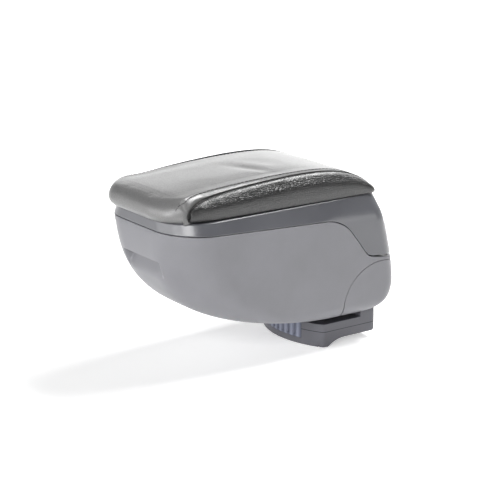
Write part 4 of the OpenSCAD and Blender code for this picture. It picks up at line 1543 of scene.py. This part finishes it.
            # Below the lip it turns under to its foot on the board
            back = tuck[i] * (1 - np.cos(lows))
            under_x = half[i] - math.sqrt(1 - ahead[i] ** 2) * back
            under_z = z0 - lip[i] * np.sin(lows)
            foot = min(inner[i], under_x[-1] - 0.2)
            row_x = np.concatenate([xs, under_x, [foot, foot]])
            row_y = np.concatenate([np.full(len(xs), y), y + ahead[i] * back, [y + ahead[i] * back[-1], y]])
            row_z = np.concatenate([zs, under_z, [self.base, min(top[i] - 1, self.base + 6)]])
            loops.append(np.column_stack([side.value * row_x, row_y, row_z]))
        grid = np.array(loops)
        count, wide = grid.shape[:2]
        faces = ring_faces(count, wide) + end_faces(count, wide)
        return mesh_piece("cushion_side_" + side.word, grid.reshape(-1, 3), faces, SEWN_CREASE_DEG)

    def welt(self, side: Side) -> Piece:
        """Build the corded welt of one seam, down to its tucked end at the deck.

        Args:
            side: The seam's side.

        Returns:
            The welt.
        """
        y = self.seam_stations(self.seam_tip_y, self.rear - 0.5, 120)
        # The welt lies deep between both covers at the front and stands out of them along the side
        deep, shallow = self.welt_sunk
        sunk = deep - (deep - shallow) * smooth_step(y, -208, -184)
        path = np.column_stack([self.seam_at(y), y, self.seam_z(y) - sunk])
        tip = path[0]
        turns = np.radians([90, 70, 50, 30, 15])
        back = self.welt_run * (1 - np.cos(turns))
        # At its front end it dips under the corner of the cushion, inwards and back
        under = np.column_stack([tip[0] + self.welt_aim[0] * back, tip[1] + self.welt_aim[1] * back,
                                 tip[2] - (tip[2] - self.base - self.welt_foot) * np.sin(turns)])
        path = np.vstack([under, path]) * np.array([side.value, 1, 1])
        points, faces = tube(path, self.welt_w / 2, 12, self.welt_flat)
        return mesh_piece("welt_" + side.word, points, faces, SEWN_CREASE_DEG)

    def stitches(self, side: Side) -> Piece:
        """Lay the stitches beside one seam.

        Args:
            side: The seam's side.

        Returns:
            All stitches of the row.
        """
        ys = np.linspace(self.stitch_front_y, self.rear - 3, 3000)
        xs = self.seam_at(ys) - self.stitch_inset
        ys = np.maximum(ys, self.outline_front(xs) + self.stitch_front_gap)
        line = np.column_stack([side.value * xs, ys, self.surface(xs, ys) - self.stitch_sink])
        along = np.concatenate([[0], np.cumsum(np.linalg.norm(np.diff(line, axis=0), axis=1))])
        points, faces, start = [], [], 0
        for centre in np.arange(self.stitch_pitch, along[-1] - 2, self.stitch_pitch):
            span = centre + np.linspace(-self.stitch_half, self.stitch_half, 6)
            path = np.column_stack([np.interp(span, along, line[:, i]) for i in range(3)])
            # Each stitch arches a little and slants across the row
            path[:, 2] += self.stitch_sink * np.cos(np.linspace(-1.4, 1.4, 6))
            path[:, 0] += side.value * self.stitch_slant * np.linspace(-1, 1, 6)
            corners, quads = tube(path, self.stitch_r, 6, self.stitch_flat)
            points.append(corners)
            faces += [tuple(start + i for i in q) for q in quads]
            start += len(corners)
        return mesh_piece("stitches_" + side.word, np.vstack(points), faces, STITCH_CREASE_DEG)

    def top_held(self, points: Points) -> Points:
        """How firmly the centre panel is sewn down at each point."""
        x, y, z = points.T
        seam = 1 - smooth_step(self.edge_at(y) - np.abs(x), 8, 22)
        nose = 1 - smooth_step(z, self.nose_z + 2, self.nose_z + 12)
        return np.maximum.reduce([seam, nose, smooth_step(y, self.rear - 20, self.rear - 6)])

    def side_held(self, points: Points) -> Points:
        """How firmly a side panel is sewn down at each point."""
        x, y, z = points.T
        seam = 1 - smooth_step(np.abs(x) - self.seam_at(y) - self.welt_w / 2 - self.gap, 1.5, 5)
        foot = 1 - smooth_step(z, self.base + 2, self.base + 7)
        ends = np.maximum(smooth_step(y, self.seam_tip_y + 22, self.seam_tip_y + 6),
                          smooth_step(y, self.rear - 26, self.rear - 8))
        return np.maximum.reduce([seam, foot, ends])

    def build(self, palette: Palette) -> list[Piece]:
        """Build and dress the cushion.

        Args:
            palette: Finishes.

        Returns:
            All of its pieces.
        """
        top = self.centre_panel()
        FoamSwell(cap_mm=self.swell).apply(top, self.top_held)
        dress(top, palette.top_leather)
        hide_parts("pad_top")
        made = [top]
        for side in Side:
            word = side.word
            panel, cord, row = self.side_panel(side), self.welt(side), self.stitches(side)
            FoamSwell(voxel_mm=4.0, cap_mm=self.side_swell).apply(panel, self.side_held)
            dress(panel, palette.side_leather)
            dress(cord, palette.welt_leather)
            dress(row, palette.thread)
            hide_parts("pad_side_" + word)
            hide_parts("piping_" + word)
            made += [panel, cord, row]
        for piece in made:
            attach(piece, "cushion")
        return made


class Kept:
    """Solids that keep their own shape and get a finish and softened edges."""

    # Width in millimetres of the softened edges of each solid that has them
    soften: ClassVar[dict[str, float]] = {
        "foot_base": 0.45, "foot_housing": 0.45, "release_button": 0.35, "lid_liner": 0.4,
        "hinge_arm_left": 0.3, "hinge_arm_right": 0.3, "striker_bracket": 0.2,
        "lid_hinge_base": 0.2, "lid_hinge_leaf": 0.2}
    soft_angle: ClassVar[float] = 38.0

    def build(self, palette: Palette) -> int:
        """Dress every solid that stays in view.

        Args:
            palette: Finishes.

        Returns:
            Number of solids dressed.
        """
        slots = {part["node"]: part["material_slot"] for part in frame["record"]["subparts"]}
        for name, node in frame["nodes"].items():
            dress(node, palette.by_slot[slots[name]])
            if name in self.soften:
                edge = node.modifiers.new("soft edge", "BEVEL")
                edge.width = self.soften[name] * MM
                edge.segments = 2
                edge.limit_method = "ANGLE"
                edge.angle_limit = math.radians(self.soft_angle)
                edge.harden_normals = True
                edge.use_clamp_overlap = False
        return len(frame["nodes"])


@dataclass
class Studio:
    """Camera, lights and the pale floor."""

    azimuth: float = 54.912
    elevation: float = 16.034
    distance_mm: float = 1848.1
    target_mm: tuple[float, float, float] = (-6.2, -95.2, 94.3)
    focal_px: float = 1757.4
    picture_px: int = 500
    sensor_mm: float = 36.0
    clip_end: float = 20.0
    floor_z: float = -7.4
    floor_half: float = 3000.0
    floor_glow: float = 0.33
    seen_glow: tuple[float, float] = (0.45, 1.0)
    fade: tuple[float, float] = (0.7, 1.3)
    floor_colour: str = "#f2f2f2"
    floor_roughness: float = 0.9
    wall_colour: str = "#b4b4b4"
    ceiling_colour: str = "#6a6a6a"
    room_light: float = 0.08

    def camera(self) -> None:
        """Place the camera at the photograph's viewpoint."""
        a, e = math.radians(self.azimuth), math.radians(self.elevation)
        back = Vector((math.sin(a) * math.cos(e), -math.cos(a) * math.cos(e), math.sin(e)))
        lens = bpy.data.cameras.new("camera")
        lens.lens = self.focal_px / self.picture_px * self.sensor_mm
        lens.sensor_width = self.sensor_mm
        lens.clip_end = self.clip_end
        eye = bpy.data.objects.new("camera", lens)
        eye.location = Vector(self.target_mm) * MM + back * self.distance_mm * MM
        eye.rotation_euler = back.to_track_quat("Z", "Y").to_euler()
        bpy.context.scene.collection.objects.link(eye)
        bpy.context.scene.camera = eye

    def lamp(self, name: str, place: tuple[float, float, float], size: tuple[float, float],
             power: float) -> None:
        """Hang one soft lamp that looks at the armrest.

        Args:
            name: Name of the lamp.
            place: Its place in metres.
            size: Its width and height in metres.
            power: Its power in watts.
        """
        light = bpy.data.lights.new(name, "AREA")
        light.shape = "RECTANGLE"
        light.size, light.size_y = size
        light.energy = power
        lamp = bpy.data.objects.new(name, light)
        lamp.location = place
        aim = Vector(place) - Vector(self.target_mm) * MM
        lamp.rotation_euler = aim.to_track_quat("Z", "Y").to_euler()
        bpy.context.scene.collection.objects.link(lamp)

    def build(self) -> None:
        """Set up the whole studio."""
        scene = bpy.context.scene
        scene.view_settings.view_transform = "Standard"
        self.camera()
        # From above and behind, on the top panel
        self.lamp("top_rear", (0.05, 0.8, 1.4), (1.0, 0.6), 32)
        # Near the camera, for the glints on the roll and the dark side panel
        self.lamp("corner_high", (1.15, -1.3, 0.95), (0.9, 0.35), 13)
        # Low and in front, for the corner of the band, the toe and the button
        self.lamp("corner_low", (0.6, -1.65, 0.35), (0.5, 0.5), 9)
        # Broad and even, on the bow of the box
        self.lamp("front", (-0.6, -2.0, 0.45), (2.2, 0.9), 16)
        # Low at the rear right, so that the side of the box grows lighter towards the drum
        self.lamp("side_rear", (1.5, 0.9, 0.05), (0.8, 0.5), 3)
        # Opposite the camera, for the sheen along the top panel
        self.lamp("wall_rear_left", (-1.5, 1.05, 0.55), (1.8, 1.0), 10.5)
        world = bpy.data.worlds.new("studio")
        scene.world = world
        world.use_nodes = True
        tree = world.node_tree
        tree.nodes.clear()
        path = add_node(tree, "ShaderNodeLightPath")
        bent = add_node(tree, "ShaderNodeMath",
                        {0: path.outputs["Is Glossy Ray"], 1: path.outputs["Is Transmission Ray"]},
                        operation="MAXIMUM")
        seen = add_node(tree, "ShaderNodeMath", {0: path.outputs["Is Camera Ray"], 1: bent},
                        operation="MAXIMUM")
        # Pale walls near the floor and a darker ceiling
        place = add_node(tree, "ShaderNodeTexCoord")
        height = add_node(tree, "ShaderNodeSeparateXYZ", {"Vector": place.outputs["Generated"]})
        wall = add_node(tree, "ShaderNodeMapRange",
                        {"Value": height.outputs["Z"], "From Min": 0.35, "From Max": 0.0},
                        interpolation_type="SMOOTHSTEP")
        sky = add_node(tree, "ShaderNodeMix",
                       {"Factor": wall, "A": linear(self.ceiling_colour), "B": linear(self.wall_colour)},
                       data_type="RGBA")
        # The camera sees pure white and reflections see the room, which lights the rest only a little
        sight = add_node(tree, "ShaderNodeMix",
                         {"Factor": path.outputs["Is Camera Ray"], "A": sky, "B": WHITE},
                         data_type="RGBA")
        room = add_node(tree, "ShaderNodeBackground", {"Color": sky, "Strength": self.room_light})
        backdrop = add_node(tree, "ShaderNodeBackground", {"Color": sight, "Strength": 1.0})
        mix = add_node(tree, "ShaderNodeMixShader", {0: seen, 1: room, 2: backdrop})
        add_node(tree, "ShaderNodeOutputWorld", {"Surface": mix})
        self.floor()

    def floor(self) -> None:
        """Lay the pale floor, which keeps the shadow."""
        size, z = self.floor_half, self.floor_z
        points = np.array([(-size, -size, z), (size, -size, z), (size, size, z), (-size, size, z)])
        floor = mesh_piece("floor", points, [(0, 1, 2, 3)])
        if floor.data.polygons[0].normal.z < 0:
            floor.data.flip_normals()
        material = bpy.data.materials.new("floor_white")
        material.use_nodes = True
        tree = material.node_tree
        shader = tree.nodes["Principled BSDF"]
        shader.inputs["Base Color"].default_value = linear(self.floor_colour)
        shader.inputs["Roughness"].default_value = self.floor_roughness
        path = add_node(tree, "ShaderNodeLightPath")
        # Far from the armrest the lamps fade, so the seen floor grows white by itself there
        place = add_node(tree, "ShaderNodeTexCoord")
        away = add_node(tree, "ShaderNodeVectorMath", {0: place.outputs["Object"]}, operation="LENGTH")
        white = add_node(tree, "ShaderNodeMapRange",
                         {"Value": away, "From Min": self.fade[0], "From Max": self.fade[1],
                          "To Min": self.seen_glow[0], "To Max": self.seen_glow[1]})
        level = add_node(tree, "ShaderNodeMapRange",
                         {"Value": path.outputs["Is Camera Ray"], "To Min": self.floor_glow, "To Max": white})
        glow = add_node(tree, "ShaderNodeEmission", {"Color": WHITE, "Strength": level})
        both = add_node(tree, "ShaderNodeAddShader", {0: shader, 1: glow})
        tree.links.new(both.outputs[0], tree.nodes["Material Output"].inputs["Surface"])
        floor.data.materials.append(material)


def main() -> None:
    """Build the whole armrest."""
    logging.basicConfig(level=logging.INFO, format="%(message)s")
    palette = Palette()
    form = BodyForm()
    seam = SeamLine(form)
    Studio().build()
    LOG.info("studio set")
    LOG.info("solids dressed: %d", Kept().build(palette))
    made = [part.build(palette) for part in (Box(form, seam), Lid(form, seam), Drum(form))]
    for piece in made + Cushion().build(palette):
        LOG.info("%s: %d faces", piece.name, len(piece.data.polygons))


if __name__ == "__main__":
    main()
